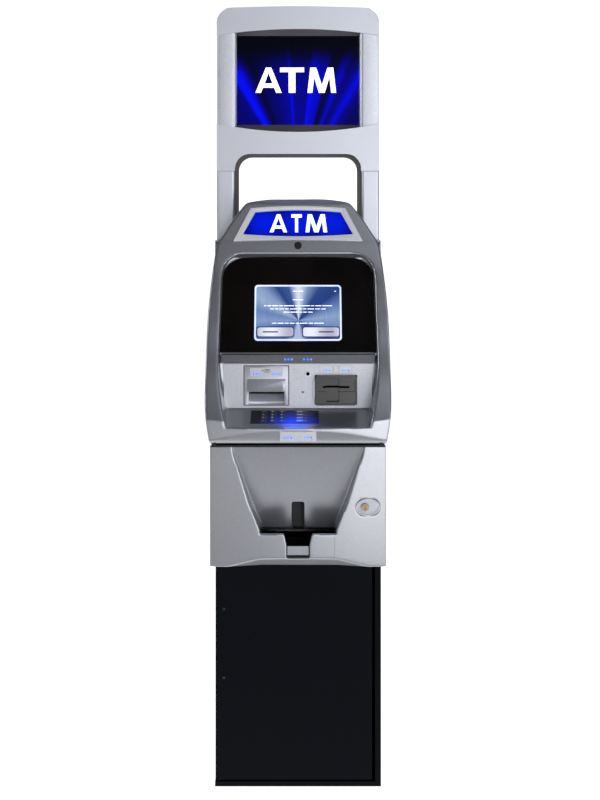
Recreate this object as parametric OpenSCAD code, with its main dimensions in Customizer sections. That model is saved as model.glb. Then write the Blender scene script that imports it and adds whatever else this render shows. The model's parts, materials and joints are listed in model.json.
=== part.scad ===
// Free-standing cash machine: steel chest, tilting control head and raised sign.
// Millimetres. X is to the right of someone using it, -Y is the front, +Z is up.
// The origin is on the floor, at the centre of the whole object's outline.

/* [Chest] */
// Width of the steel chest
chest_w = 372; // [330:2:440]
// Depth of the steel chest, from the door's face to the back
chest_d = 460; // [400:5:560]
// Height of the chest, up to the head's base plate
chest_h = 784; // [720:4:860]
// Thickness of the chest's steel plate
chest_wall = 6; // [4:1:10]
// Thickness of the chest's door
door_t = 12; // [11:1:16]
// Width of the frame that shows beside the door
jamb_w = 13; // [10:1:20]
// Height of the sill that shows under the door
sill_h = 11; // [8:1:16]
// Gap between the door and the frame round it
door_gap = 4; // [3:0.5:6]
// Radius of the floor's anchor holes
anchor_r = 9; // [6:0.5:12]

/* [Lower panel] */
// Height of the silver panel over the chest door
panel_h = 262; // [240:2:310]
// Depth of the silver panel
panel_d = 85; // [75:1:100]
// Thickness of moulded walls
skin = 4; // [3:0.5:5]
// How far the fronts bow out at their middle
bow = 8; // [4:1:14]
// Width of the cash pocket at its mouth
pocket_w = 166; // [150:2:190]

/* [Head] */
// Greatest width of the head
head_w = 406; // [390:2:440]
// Height of the head's rear housing
housing_h = 432; // [400:2:470]
// How far the sign hood stands above the rear housing
hood_rise = 98; // [84:2:116]
// How far the shelf's lip stands out in front of the chest door
overhang = 130; // [118:1:150]
// Depth of the tilting front, from its lip to the rear housing
fascia_d = 272; // [260:1:290]
// Width of the screen's lit area
screen_w = 196; // [160:2:220]
// Height of the screen's lit area
screen_h = 130; // [100:2:136]

/* [Keypad] */
// Width of a number key
key_w = 13; // [11:0.5:15]
// Depth of a key, from front to back
key_d = 11; // [9:0.5:12]
// Width of a function key
func_w = 27; // [22:1:30]
// Distance between number keys, centre to centre
key_pitch = 20.4; // [18:0.2:23]
// Distance between rows, centre to centre
row_pitch = 14.5; // [13.5:0.5:16]

/* [Raised sign] */
// Width of the raised sign
sign_w = 392; // [370:2:420]
// Depth of the raised sign
sign_d = 180; // [150:5:200]
// Height of the separate legs under the sign
leg_h = 166; // [130:2:220]
// Width of each leg
leg_w = 44; // [36:1:52]
// Height of the sign's shell, above the legs
sign_h = 397; // [370:1:440]
// Width of the sign's window
window_w = 293; // [260:1:300]
// Height of the sign's window
window_h = 215; // [190:1:230]

/* [Hidden] */
$fn = 64;
run = 0.3;              // gap round a piece that moves or drops into a pocket
eps = 0.01;             // how far pieces of one solid sink into each other
cut = 1;                // how far a cutting shape runs past the face it cuts
far = 900;              // longer than the object is wide or deep

// Places that everything hangs from
lip_y = -(overhang + chest_d) / 2;
front_y = lip_y + overhang;
back_y = front_y + chest_d;
half_chest = chest_w / 2;

// Door and its pivots
edge_gap = 7;
door_left = -half_chest + 2;
door_right = half_chest - jamb_w - edge_gap;
door_low = sill_h + door_gap;
door_top = chest_h - chest_wall - door_gap;
door_back = front_y + door_t;
pivot_in = 6;
pivot_x = door_left + pivot_in;
pivot_y = front_y + door_t / 2;
pivot_r = 3.5;
pivot_len = 14;
side_front = front_y + 16;
jamb_d = 50;
slot_low = chest_h - 228;
shelf_z = slot_low - 236;
slot_h = 46;
slot_half = 92;

// Bolt work behind the door
bolt_r = 7;
bolt_travel = 16;
bolt_y = door_back + 13;
bolt_zs = [200, chest_h - 344, chest_h - 124];
bar_x = 118;
bar_w = 16;
bar_t = 8;
bar_y = door_back + 5;
handle_x = 112;
handle_z = chest_h - 80;
handle_turn = 48;
crank_r = bolt_travel / 2 / sin(handle_turn / 2);
crank_pin_r = 4;
shaft_r = 6;

// Lower panel
base_t = 4;
panel_w = chest_w + 10;
panel_back = front_y - 6;
panel_front = panel_back - panel_d;
panel_top = chest_h - 2;
panel_low = panel_top - panel_h;
panel_hinge_x = -panel_w / 2 + 9;
panel_hinge_y = panel_back - 7;
hinge_pin_r = 3;
lip_top = panel_low + 72;
pocket_z = lip_top - 3;
rim_z = lip_top + 9;
pocket_low = panel_low + 20;
chamfer_d = 20;         // how deep the foot behind the chamfer is solid
pocket_deep = 56;
pocket_top_half = 143;
notch_half = 25;
finger_half = 12.5;
finger_h = 61;
ear_zs = [panel_low + 54, panel_top - 46];
ear_h = 10;
bracket_h = 9;
plate_x = panel_w / 2 - 40;
lock_x = plate_x - 6;
lock_z = panel_low + 129;
lock_r = 8.5;

// Head
base_z = chest_h;
base_top = base_z + base_t;
head_low = base_top + 2.5;
part_y = lip_y + fascia_d;
hinge_y = lip_y + 15;
hinge_z = head_low + 6.5;
lip_h = 37.5;
shelf_rise = 25;
device_h = 100;
band_h = 21;
shelf_front = [lip_y + 12, head_low + lip_h];
shelf_back = [lip_y + 98, shelf_front[1] + shelf_rise];
device_top = [shelf_back[0], shelf_back[1] + device_h];
screen_low = [lip_y + 107, device_top[1] + band_h];
hood_z = base_top + housing_h + 1;
screen_top = [lip_y + 185, hood_z - 37];
hood_low = [lip_y + 183, hood_z];
hood_top = base_top + housing_h + hood_rise + 2;
hood_crest = [lip_y + 233, hood_top - 14];
shelf_tilt = atan(shelf_rise / (shelf_back[0] - shelf_front[0]));
screen_tilt = atan((screen_top[0] - screen_low[0]) / (screen_top[1] - screen_low[1]));
screen_len = norm(screen_top - screen_low);
hood_tilt = atan((hood_crest[0] - hood_low[0]) / (hood_crest[1] - hood_low[1]));
hood_len = norm(hood_crest - hood_low);
recess_half = 174;
glass_t = 4;
panel_t = 4;
band_low = device_top + [-5, 0.5];
band_top = screen_low + [-12, -2];
band_tilt = atan((band_top[0] - band_low[0]) / (band_top[1] - band_low[1]));
screen_mid = 92;        // how far up the slope the screen's middle lies

// Printer and card bezels in the upright panel: [centre x, centre height over the shelf, width, height]
printer_at = [-70, 51, 100, 88];
card_at = [84, 41, 93, 66];
jack_at = [22, 77];
roll_at = [shelf_back[0] + 124, shelf_back[1] + 52];

// Keypad on the shelf: number columns, then one function column
pad_x = -29;
pad_half = 74;
pad_len = 63;
pad_t = 5;
pad_mid = (shelf_front + shelf_back) / 2 + [1, 0];
key_t = 3;
num_x0 = pad_x - 45;
func_x = pad_x + 36;
key_rows = 4;

// Raised sign
sign_y = part_y + 53;
sign_back = sign_y + sign_d;
leg_z = base_top + housing_h;
sign_z = leg_z + leg_h;
sign_top = sign_z + sign_h;
arch_z = sign_z + 46;
window_z = sign_z + 112;

// Rear housing
sheet = 3;
housing_back = back_y - 6;
housing_half = sign_w / 2;
housing_front = part_y + 0.5;
cover_screw_x = housing_half - 12;
strike_z = leg_z - 40;
fan_half = 40;
fan_r = 36;
fan_t = 22;
fan_at = [-100, leg_z - 130];
head_lock_z = hood_z - 10;
head_lock_r = 8;

// Dispenser inside the chest
rack_half = 124;
rack_t = 3;
rack_front = door_back + 28;
rack_back = back_y - 100;
rack_z = shelf_z + chest_wall;
rack_h = 286;
cassette_half = 100;
cassette_h = 108;
cassette_len = 290;
cassette_y = door_back + 60;
cassette_z = rack_z + 14;
pick_y = rack_front + 70;
pick_z = cassette_z + cassette_h + 22;
pick_r = 5;
roller_r = 18;

// The 12 number keys read as on a telephone: 1 to 9, star, 0 and hash
function key_name(k) = k < 9 ? str(k + 1) : ["star", "0", "hash"][k - 9];

// ---- Helpers ----

// A box given by its low and high corners
module block(low, high) {
    translate(low) cube(high - low);
}

// A round bar from one point along an axis: "x", "y" or "z"
module bar(at, r, len, along) {
    turn = along == "x" ? [0, 90, 0] : along == "y" ? [-90, 0, 0] : [0, 0, 0];
    translate(at) rotate(turn) cylinder(r = r, h = len);
}

// Draws its children on a plane across the object: local Y climbs the plane and local Z faces out of it.
// lean is how far the plane leans back from upright.
module on_face(y, z, lean = 0) {
    translate([0, y, z]) rotate([90 - lean, 0, 0]) children();
}

// A side view, given as [y, z] points, made as wide as asked and centred on X
module side_slab(points, width) {
    rotate([90, 0, 90]) translate([0, 0, -width / 2]) linear_extrude(width) polygon(points);
}

// A front view drawn in X and Z, pushed back from y_front to y_back
module front_slab(y_front, y_back) {
    translate([0, y_back, 0]) rotate([90, 0, 0]) linear_extrude(y_back - y_front) children();
}

// A rectangle with round corners made from exact arcs, centred
module arc_rect(w, h, r) {
    square([w - 2 * r, h], center = true);
    square([w, h - 2 * r], center = true);
    for (x = [-1, 1], y = [-1, 1]) translate([x * (w / 2 - r), y * (h / 2 - r)]) circle(r);
}

// The half-width outline [half, z] mirrored to both sides
function both_sides(half) = concat(half, [for (i = [len(half) - 1:-1:0]) [-half[i][0], half[i][1]]]);

// ---- Chest ----

module chest_shell() color("#1b1e24") difference() {
    union() {
        // floor, top, back, shelf and the two side plates
        block([-half_chest, front_y, 0], [half_chest, back_y, chest_wall]);
        block([-half_chest, side_front, chest_h - chest_wall], [half_chest, back_y, chest_h]);
        block([-half_chest, back_y - chest_wall, 0], [half_chest, back_y, chest_h]);
        block([-half_chest, door_back + 30, shelf_z], [half_chest, back_y, shelf_z + chest_wall]);
        block([-half_chest, side_front, 0], [-half_chest + chest_wall, back_y, chest_h]);
        block([half_chest - chest_wall, front_y, 0], [half_chest, back_y, chest_h]);
        // jamb with the bolt sockets, sill and lintel round the door
        block([half_chest - jamb_w, front_y, 0], [half_chest, front_y + jamb_d, chest_h]);
        block([-half_chest, front_y, 0], [half_chest, front_y + jamb_d, sill_h]);
        block([-half_chest, front_y, chest_h - chest_wall], [half_chest, side_front + cut, chest_h]);
        // pivot pins for the door
        bar([pivot_x, pivot_y, sill_h - cut], pivot_r, cut + door_gap + pivot_len, "z");
        bar([pivot_x, pivot_y, door_top - pivot_len], pivot_r, pivot_len + door_gap + cut, "z");
    }
    for (x = [-1, 1], y = [-1, 1])
        bar([x * 130, (front_y + back_y) / 2 + 10 + y * 150, -cut], anchor_r, chest_wall + 2 * cut, "z");
    for (z = bolt_zs)
        bar([half_chest - jamb_w - cut, bolt_y, z], bolt_r + 0.8, jamb_w - 3 + cut, "x");
    // cable holes up into the head
    for (x = [-110, 110]) bar([x, back_y - 70, chest_h - chest_wall - cut], 20, chest_wall + 2 * cut, "z");
}

module vault_door() color("#15181d") difference() {
    union() {
        block([door_left, front_y, door_low], [door_right, door_back, door_top]);
        // stiffening channel down the hinge side, and the bolt guides
        block([door_left + 22, door_back - eps, door_low + 12],
            [door_left + 26, door_back + 16, door_top - 12]);
        for (z = bolt_zs)
            block([bar_x + bar_w + bolt_travel + 2, door_back - eps, z - 14],
                [door_right - 4, bolt_y + 12, z + 14]);
    }
    for (z = [door_low - cut, door_top - pivot_len - 1])
        bar([pivot_x, pivot_y, z], pivot_r + run, pivot_len + 1 + cut, "z");
    for (z = bolt_zs) bar([bar_x, bolt_y, z], bolt_r + run, door_right - bar_x, "x");
    bar([handle_x, front_y - cut, handle_z], shaft_r + run, door_t + 2 * cut, "y");
    block([-slot_half, front_y - cut, slot_low], [slot_half, door_back + cut, slot_low + slot_h]);
}

// Two button-head screws on the hinge side of the door's face
module door_screws() color("#241d1b") for (z = [244, 398]) {
    bar([pivot_x + 12, front_y - 1.6, z], 3.4, 1.6, "y");
}

// Round keypad of the electronic lock, on the door behind the lower panel
module lock_dial() color("#2b2d30") translate([0, front_y, handle_z]) rotate([90, 0, 0]) {
    difference() {
        cylinder(r = 36, h = 22);
        translate([0, 0, 20]) cylinder(r = 29, h = 3);
    }
    for (i = [0:11])
        translate([(i % 3 - 1) * 14, (floor(i / 3) - 1.5) * 11, 19]) cylinder(r = 4, h = 3.5);
}

module bolt_bar() color("#b9bcc0") difference() {
    union() {
        block([bar_x, bar_y, bolt_zs[0] - 24], [bar_x + bar_w, bar_y + bar_t, handle_z]);
        block([handle_x - 30, bar_y, handle_z - crank_r - 12],
            [bar_x + eps, bar_y + bar_t, handle_z - crank_r + 14]);
        for (z = bolt_zs) {
            bar([bar_x + 2, bolt_y, z], bolt_r, door_right - 2 - bar_x - 2, "x");
        }
    }
    // upright slot for the crank's pin, at the pin's place when the bolts are drawn back
    block([handle_x - bolt_travel / 2 - crank_pin_r - 0.6, bar_y - cut, handle_z - crank_r - 7],
        [handle_x - bolt_travel / 2 + crank_pin_r + 0.6, bar_y + bar_t + cut, handle_z - crank_r + 8]);
}

// Handle, shaft, and the crank whose pin drives the bolt bar
module vault_handle() color("#a8abb0") {
    translate([handle_x, 0, handle_z]) {
        bar([0, front_y - 16, 0], shaft_r, 16 + door_t + 1.5, "y");
        bar([0, front_y - 18, 0], 14, 16, "y");
        hull() {
            bar([0, front_y - 17, 0], 8, 7, "y");
            bar([-58, front_y - 17, -14], 6, 7, "y");
        }
        bar([0, door_back + 0.6, 0], crank_r + crank_pin_r + 1, bar_y - door_back - 1.2, "y");
        rotate([0, handle_turn / 2, 0])
            bar([0, door_back + 1, -crank_r], crank_pin_r, bar_y + bar_t - door_back, "y");
    }
}

// ---- Lower panel ----

// A tall slab whose front bows out by bow at the middle, between two heights
module bowed_slab(width, y_side, y_back, z_low, z_high, sag) {
    r = (width * width / 4 + sag * sag) / (2 * sag);
    intersection() {
        block([-width / 2, y_side - sag - cut, z_low], [width / 2, y_back, z_high]);
        translate([0, y_side - sag + r, z_low - cut])
            cylinder(r = r, h = z_high - z_low + 2 * cut, $fn = 256);
    }
}

// Front view of the cash pocket: wide at the top and drawn in to its mouth
module pocket_outline(grow = 0) {
    half = pocket_w / 2 + grow;
    top = pocket_top_half + grow;
    rise = panel_top - rim_z;
    polygon(both_sides([
        [top, panel_top + cut],
        [top - 3, panel_top - 0.1 * rise],
        [half + 0.72 * (top - half), panel_top - 0.33 * rise],
        [half + 0.4 * (top - half), panel_top - 0.67 * rise],
        [half, rim_z],
        [half, pocket_low - grow]
    ]));
}

// Side view of the room in front of the pocket's sloping back, pushed back by grow
module pocket_room(grow = 0) {
    side_slab([
        [panel_front - bow - 40, panel_top + cut],
        [panel_front + grow, panel_top + cut],
        [panel_front + pocket_deep + grow, pocket_z],
        [panel_front + skin + 1, pocket_z],
        [panel_front + skin + 1, lip_top],
        [panel_front - bow - 40, lip_top]
    ], far);
}

// The chamfer under the panel's front, deep in the middle and dying out at the corners
module panel_chamfer() {
    hull() for (side = [[pocket_w / 2, 20], [panel_w / 2 - 12, 1]], x = [-1, 1])
        translate([x * side[0], 0, 0]) side_slab([
            [panel_front - bow - 2, panel_low - cut],
            [panel_front - bow + side[1] + 1, panel_low - cut],
            [panel_front - bow - 2, panel_low + side[1] + 2]
        ], 0.2);
}

module lower_panel() color("#b4b7bf") difference() {
    union() {
        difference() {
            bowed_slab(panel_w, panel_front, panel_back, panel_low, panel_top, bow);
            block([-panel_w / 2 + skin, panel_front + skin, panel_low + skin],
                [panel_w / 2 - skin, panel_back + cut, panel_top - skin]);
        }
        // lining of the pocket, and the block under it that carries the lip
        intersection() {
            front_slab(panel_front + 1, panel_back - 1) pocket_outline(skin);
            pocket_room(skin);
            block([-half_chest, panel_front, pocket_low], [half_chest, panel_back, panel_top]);
        }
        block([-pocket_w / 2 - skin, panel_front + 1, panel_low + 1],
            [pocket_w / 2 + skin, panel_back - 2, pocket_z]);
        // solid foot that the chamfer is cut from
        block([-panel_w / 2 + 1, panel_front + 1, panel_low + 1],
            [panel_w / 2 - 1, panel_front + chamfer_d, panel_low + chamfer_d]);
        // hinge ears on the left wall, and the seat of the lock
        for (z = ear_zs)
            block([-panel_w / 2 + 1, panel_hinge_y - 6, z], [panel_hinge_x + 6, panel_back, z + ear_h]);
        bar([lock_x, panel_front + 1, lock_z], lock_r + 6, 15, "y");
    }
    intersection() {
        front_slab(panel_front - 60, panel_back - 1 - skin) pocket_outline();
        pocket_room();
    }
    for (z = ear_zs) {
        bar([panel_hinge_x, panel_hinge_y, z - cut], hinge_pin_r + run, ear_h + 2 * cut, "z");
        // notch that lets the side wall swing past the hinge bracket
        block([-panel_w / 2 - cut, panel_hinge_y - 7, z - bracket_h - 1],
            [-panel_w / 2 + skin + cut, panel_back + cut, z]);
    }
    bar([lock_x, panel_front - bow - cut, lock_z], lock_r + run, panel_d, "y");
    panel_chamfer();
    // throat behind the lip, notch through the lip, and the finger gap in the pocket's back
    block([-pocket_w / 2 + 0.2, panel_front + skin, pocket_low],
        [pocket_w / 2 - 0.2, panel_back + cut, pocket_z + 1]);
    block([-notch_half, panel_front - bow - cut, pocket_low],
        [notch_half, panel_front + skin + cut, lip_top + cut]);
    block([-finger_half, panel_front, pocket_z], [finger_half, panel_back + cut, pocket_z + finger_h]);
    on_face(panel_front + 1.2, lock_z) translate([plate_x, 0, 0]) lock_oval(run, 20);
}

// Oval plate shape round the lock, drawn flat
module lock_oval(grow, h) {
    hull() for (x = [-8, 8]) translate([x, 0, 0]) cylinder(r = 17 + grow, h = h, $fn = 32);
}

module lock_escutcheon() color("#c9ccd2") difference() {
    on_face(panel_front + 1, lock_z) translate([plate_x, 0, 0]) lock_oval(0, 2.5);
    bar([lock_x, panel_front - 10, lock_z], lock_r + run, 20, "y");
}

// Cylinder lock of the lower panel, with its key slot and the cam behind
module panel_lock() color("#a58d74") translate([lock_x, 0, lock_z]) difference() {
    union() {
        bar([0, panel_front - 4.5, 0], lock_r, 30, "y");
        block([-6, panel_front + 22, -4], [6, panel_front + 25, 34]);
    }
    block([-1, panel_front - 5.5, -5], [1, panel_front + 3, 5]);
}

// Dark insert behind the lip: side walls, finger channel and the rear frame that meets the door's slot
module cash_tray() color("#23252a") difference() {
    union() {
        for (x = [-1, 1])
            translate([x * (pocket_w / 2 - 1.5), 0, 0])
                block([-1, panel_front + skin + 1, pocket_low + run], [1, panel_back - 3, pocket_z - 1]);
        block([-pocket_w / 2 + 1, panel_front + pocket_deep + skin + 2, pocket_z - 2],
            [pocket_w / 2 - 1, panel_back - 3, pocket_z - run]);
        block([-finger_half - 5, panel_front + pocket_deep + skin + 1, pocket_z - 2],
            [finger_half + 5, panel_back - 3, pocket_z + finger_h + 6]);
    }
    block([-finger_half, panel_front, pocket_z - 3], [finger_half, panel_back - 6, pocket_z + finger_h]);
}

// Two pin brackets on the door that carry the lower panel
module panel_hinge() color("#3a3d42") for (z = ear_zs) {
    block([panel_hinge_x - 4, panel_hinge_y - 4, z - bracket_h], [panel_hinge_x + 14, front_y, z - run]);
    bar([panel_hinge_x, panel_hinge_y, z - 4], hinge_pin_r, ear_h + 4, "z");
}

// ---- Dispenser ----

// Two side plates with tie rods, runners for the cassette, and the chute to the door's slot
module dispenser_frame() color("#8d9096") difference() {
    union() {
        for (x = [-1, 1]) {
            translate([x * (rack_half + rack_t / 2), 0, 0])
                block([-rack_t / 2, rack_front, rack_z], [rack_t / 2, rack_back, rack_z + rack_h]);
            translate([x * (rack_half - 14), 0, 0])
                block([-14, rack_front + 10, cassette_z - 8], [14, rack_back - 6, cassette_z - run]);
        }
        for (y = [rack_front + 14, rack_back - 14], z = [rack_z + 8, rack_z + rack_h - 14])
            bar([-rack_half - cut, y, z], 5, 2 * rack_half + 2 * cut, "x");
        difference() {
            block([-rack_half - cut, rack_front + 4, slot_low + 4],
                [rack_half + cut, rack_front + 130, slot_low + slot_h - 4]);
            block([-slot_half + 6, rack_front, slot_low + 8],
                [slot_half - 6, rack_front + 126, slot_low + slot_h - 8]);
        }
    }
    bar([-rack_half - 10, pick_y, pick_z], pick_r + run, 2 * rack_half + 20, "x");
}

// Shaft with three note rollers above the cassette
module pick_shaft() color("#55585e") {
    bar([-rack_half - rack_t - 4, pick_y, pick_z], pick_r, 2 * rack_half + 2 * rack_t + 16, "x");
    for (x = [-62, 0, 62]) bar([x - 12, pick_y, pick_z], roller_r, 24, "x");
}

module dispenser_motor() color("#3b3e44") difference() {
    union() {
        bar([rack_half + rack_t, pick_y, pick_z], 21, 36, "x");
        block([rack_half + rack_t, pick_y - 26, pick_z - 26],
            [rack_half + rack_t + 3, pick_y + 26, pick_z + 26]);
    }
    bar([rack_half, pick_y, pick_z], pick_r + run, rack_t + 16, "x");
}

// Note box: open at the top front for the rollers, with a carrying handle
module cash_cassette() color("#30333a") {
    difference() {
        block([-cassette_half, cassette_y, cassette_z],
            [cassette_half, cassette_y + cassette_len, cassette_z + cassette_h]);
        block([-cassette_half + 4, cassette_y + 4, cassette_z + 4],
            [cassette_half - 4, cassette_y + cassette_len - 4, cassette_z + cassette_h - 4]);
        block([-cassette_half + 18, cassette_y + 16, cassette_z + cassette_h - 5],
            [cassette_half - 18, cassette_y + 110, cassette_z + cassette_h + cut]);
    }
    difference() {
        block([-45, cassette_y - 12, cassette_z + 40], [45, cassette_y + eps, cassette_z + 66]);
        block([-38, cassette_y - 7, cassette_z + 39], [38, cassette_y, cassette_z + 59]);
    }
}

// ---- Head, fixed part ----

// Steel plate over the chest; its front runs out under the tilting front and carries the hinge pins
module head_base() color("#101114") difference() {
    union() {
        block([-half_chest, hinge_y - 3, base_z], [half_chest, back_y, base_top]);
        for (x = [-1, 1]) {
            translate([x * (half_chest - 8), 0, 0]) block([-2, hinge_y - 3, base_top - eps],
                [2, hinge_y + 12, hinge_z + 4]);
            translate([x < 0 ? -half_chest - 3 : half_chest - 10, hinge_y, hinge_z])
                bar([0, 0, 0], 3, 13, "x");
        }
    }
    for (x = [-110, 110]) bar([x, back_y - 70, base_z - cut], 20, base_t + 2 * cut, "z");
}

// Front view of the rear housing
module housing_outline() {
    polygon(both_sides([
        [half_chest, base_top],
        [housing_half, base_top + 110],
        [housing_half, leg_z]
    ]));
}

module head_housing() color("#a9acb4") difference() {
    union() {
        difference() {
            front_slab(housing_front, housing_back) housing_outline();
            front_slab(housing_front - cut, housing_back - 4) offset(delta = -sheet) housing_outline();
            front_slab(housing_back - 5, housing_back + cut) offset(delta = -sheet - 18) housing_outline();
        }
        // rail that the head's lock catches behind
        block([-housing_half + 1, housing_front, strike_z],
            [housing_half - 1, housing_front + 3, strike_z + 20]);
    }
    block([-45, housing_front - cut, leg_z - sheet - cut], [45, housing_front + 16, leg_z + cut]);
    for (x = [-1, 1], z = cover_screw_zs())
        bar([x * cover_screw_x, housing_back - 5, z], 2.2, 6, "y");
    for (x = [-110, 110]) bar([x, back_y - 70, base_top - cut], 20, sheet + 2 * cut, "z");
}

function cover_screw_zs() = [base_top + 120, (base_top + leg_z) / 2 + 50, leg_z - 14];

// Back panel with rows of vents, the hole for the inlet and the fan's grille
module rear_cover() color("#2a2c30") difference() {
    front_slab(housing_back, housing_back + 3) offset(delta = -2) housing_outline();
    for (x = [-1, 1], z = cover_screw_zs()) bar([x * cover_screw_x, housing_back - cut, z], 2.2, 6, "y");
    for (row = [0:7])
        block([20, housing_back - cut, base_top + 250 + row * 14],
            [140, housing_back + 4, base_top + 255 + row * 14]);
    for (row = [-3:3])
        block([fan_at[0] - 30, housing_back - cut, fan_at[1] + row * 9 - 2.5],
            [fan_at[0] + 30, housing_back + 4, fan_at[1] + row * 9 + 2.5]);
    block([-120, housing_back - cut, base_top + 40], [-90, housing_back + 4, base_top + 66]);
}

module cover_screws() color("#8b8e93") for (x = [-1, 1], z = cover_screw_zs()) {
    bar([x * cover_screw_x, housing_back - 4, z], 1.9, 7.5, "y");
    bar([x * cover_screw_x, housing_back + 3, z], 4, 2.4, "y");
}

module main_board() color("#1f6b45") {
    block([-housing_half + 22, 70, base_top + 120], [-housing_half + 23.6, 250, base_top + 300]);
    for (y = [80, 240], z = [base_top + 130, base_top + 290])
        bar([-housing_half + sheet, y, z], 3, 20, "x");
    block([-housing_half + 23.5, 110, base_top + 190], [-housing_half + 41, 160, base_top + 240]);
    block([-housing_half + 23.5, 180, base_top + 150], [-housing_half + 34, 236, base_top + 166]);
    block([-housing_half + 23.5, 84, base_top + 256], [-housing_half + 36, 140, base_top + 280]);
}

module power_supply() color("#9ea2a8") difference() {
    block([20, back_y - 190, base_top + sheet], [140, back_y - 102, base_top + sheet + 62]);
    for (i = [0:5])
        block([34 + i * 16, back_y - 180, base_top + sheet + 60],
            [40 + i * 16, back_y - 112, base_top + sheet + 63]);
}

// Mains inlet in the back panel: body, rim and three contact blades
module power_inlet() color("#141518") {
    difference() {
        union() {
            block([-120 + run, housing_back - 22, base_top + 40 + run],
                [-90 - run, housing_back + 3, base_top + 66 - run]);
            block([-124, housing_back + 3, base_top + 36], [-86, housing_back + 5, base_top + 70]);
        }
        block([-117, housing_back - 16, base_top + 43], [-93, housing_back + 6, base_top + 63]);
    }
    for (x = [-111.5, -105, -98.5]) block([x - 1.5, housing_back - 17, base_top + 50],
        [x + 1.5, housing_back - 3, base_top + 57]);
}

module fan_frame() color("#1a1b1e") translate([fan_at[0], housing_back, fan_at[1]]) {
    difference() {
        block([-fan_half, -fan_t, -fan_half], [fan_half, 0, fan_half]);
        bar([0, -fan_t - cut, 0], fan_r + 1.5, fan_t + 2 * cut, "y");
    }
    difference() {
        union() {
            for (turn = [0:120:240]) rotate([0, turn, 0]) block([-3, -fan_t, 0],
                [3, -fan_t + 3, fan_r + 3]);
            bar([0, -fan_t, 0], 13, 4, "y");
        }
        bar([0, -fan_t - cut, 0], 2.3, 6, "y");
    }
}

module fan_rotor() color("#1a1b1e") translate([fan_at[0], housing_back, fan_at[1]]) {
    bar([0, -fan_t + 0.5, 0], 2, 5, "y");
    bar([0, -fan_t + 5, 0], 13, 13, "y");
    for (turn = [0:360 / 7:359]) rotate([0, turn, 0]) translate([0, -fan_t + 11, 12])
        rotate([0, 0, 35]) block([-7, -0.8, 0], [7, 0.8, fan_r - 14]);
}

// ---- Tilting front ----

// Side view of the front: rolled hinge edge, lip, cheeks, brow and sign hood
module fascia_side() {
    polygon([
        [hinge_y, head_low],
        [hinge_y - 4.6, hinge_z - 4.6],
        [hinge_y - 6.5, hinge_z],
        [lip_y + 3, head_low + 22],
        [lip_y, shelf_front[1]],
        [lip_y + 12, shelf_back[1]],
        [lip_y + 32, shelf_back[1] + 34],
        [lip_y + 58, shelf_back[1] + 74],
        [screen_low[0] - 26, screen_low[1] + 2],
        [screen_low[0] - 2, screen_low[1] + 0.36 * (screen_top[1] - screen_low[1])],
        [screen_top[0] - 43, screen_top[1] - 34],
        [hood_low[0] - 8, hood_low[1] - 12],
        hood_low,
        hood_crest,
        [hood_crest[0] + 13, hood_top - 4],
        [part_y, hood_top],
        [part_y, head_low]
    ]);
}

// Front view of the head: widest beside the screen, drawn in to the hood
module fascia_front() {
    half = head_w / 2;
    polygon(both_sides([
        [half - 12.5, head_low],
        [half - 6, head_low + 40],
        [half - 1, head_low + 90],
        [half, screen_low[1]],
        [half - 1.5, screen_low[1] + 75],
        [half - 6, screen_low[1] + 140],
        [half - 15, hood_z - 26],
        [half - 21, hood_z],
        [half - 37, hood_z + 24],
        [half - 49, hood_z + 0.44 * (hood_top - hood_z)],
        [half - 70, hood_z + 0.67 * (hood_top - hood_z)],
        [half - 89, hood_top - 11],
        [half - 104, hood_top]
    ]));
}

// Side view of the space between the cheeks: shelf, upright panel, light band and sloping screen
module recess_side() {
    polygon([
        shelf_front,
        shelf_back,
        device_top,
        screen_low,
        screen_top,
        [screen_top[0] - 24, screen_top[1] + 9],
        [lip_y - 60, screen_top[1] + 9],
        [lip_y - 60, shelf_front[1]]
    ]);
}

module recess_front() {
    corner = 50;
    top = screen_top[1] + 9;
    polygon(both_sides(concat(
        [
            [recess_half - 22, shelf_front[1] - 3],
            [recess_half - 8, shelf_back[1]],
            [recess_half - 1, device_top[1]],
            [recess_half + 1, screen_low[1]]
        ],
        [for (a = [0:15:90]) [recess_half - 2 - corner * (1 - cos(a)), top - corner * (1 - sin(a))]]
    )));
}

module side_view(width) {
    rotate([90, 0, 90]) translate([0, 0, -width / 2]) linear_extrude(width) children();
}

module recess(grow = 0) intersection() {
    side_view(far) offset(delta = grow) recess_side();
    front_slab(lip_y - 60, part_y) offset(delta = grow) recess_front();
}

// The room inside the front, open below and behind
module fascia_room() intersection() {
    side_view(far) for (move = [[0, 0], [skin + cut, 0], [0, -skin - cut]])
        translate(move) offset(delta = -skin) fascia_side();
    front_slab(lip_y - cut, part_y + 2 * cut) for (drop = [0, -skin - cut])
        translate([0, drop]) offset(delta = -skin) fascia_front();
}

// Trapezoid of the hood's sign, drawn on the hood's slope
module hood_sign_shape(grow = 0) {
    low = 15 - grow;
    high = hood_len - 15 + grow;
    polygon([[-126 - grow, low], [126 + grow, low], [98 + grow, high], [-98 - grow, high]]);
}

// Puts children on the shelf's slope, centred on the keypad
module on_shelf() {
    translate([pad_x, pad_mid[0], pad_mid[1]]) rotate([shelf_tilt, 0, 0]) children();
}

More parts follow.
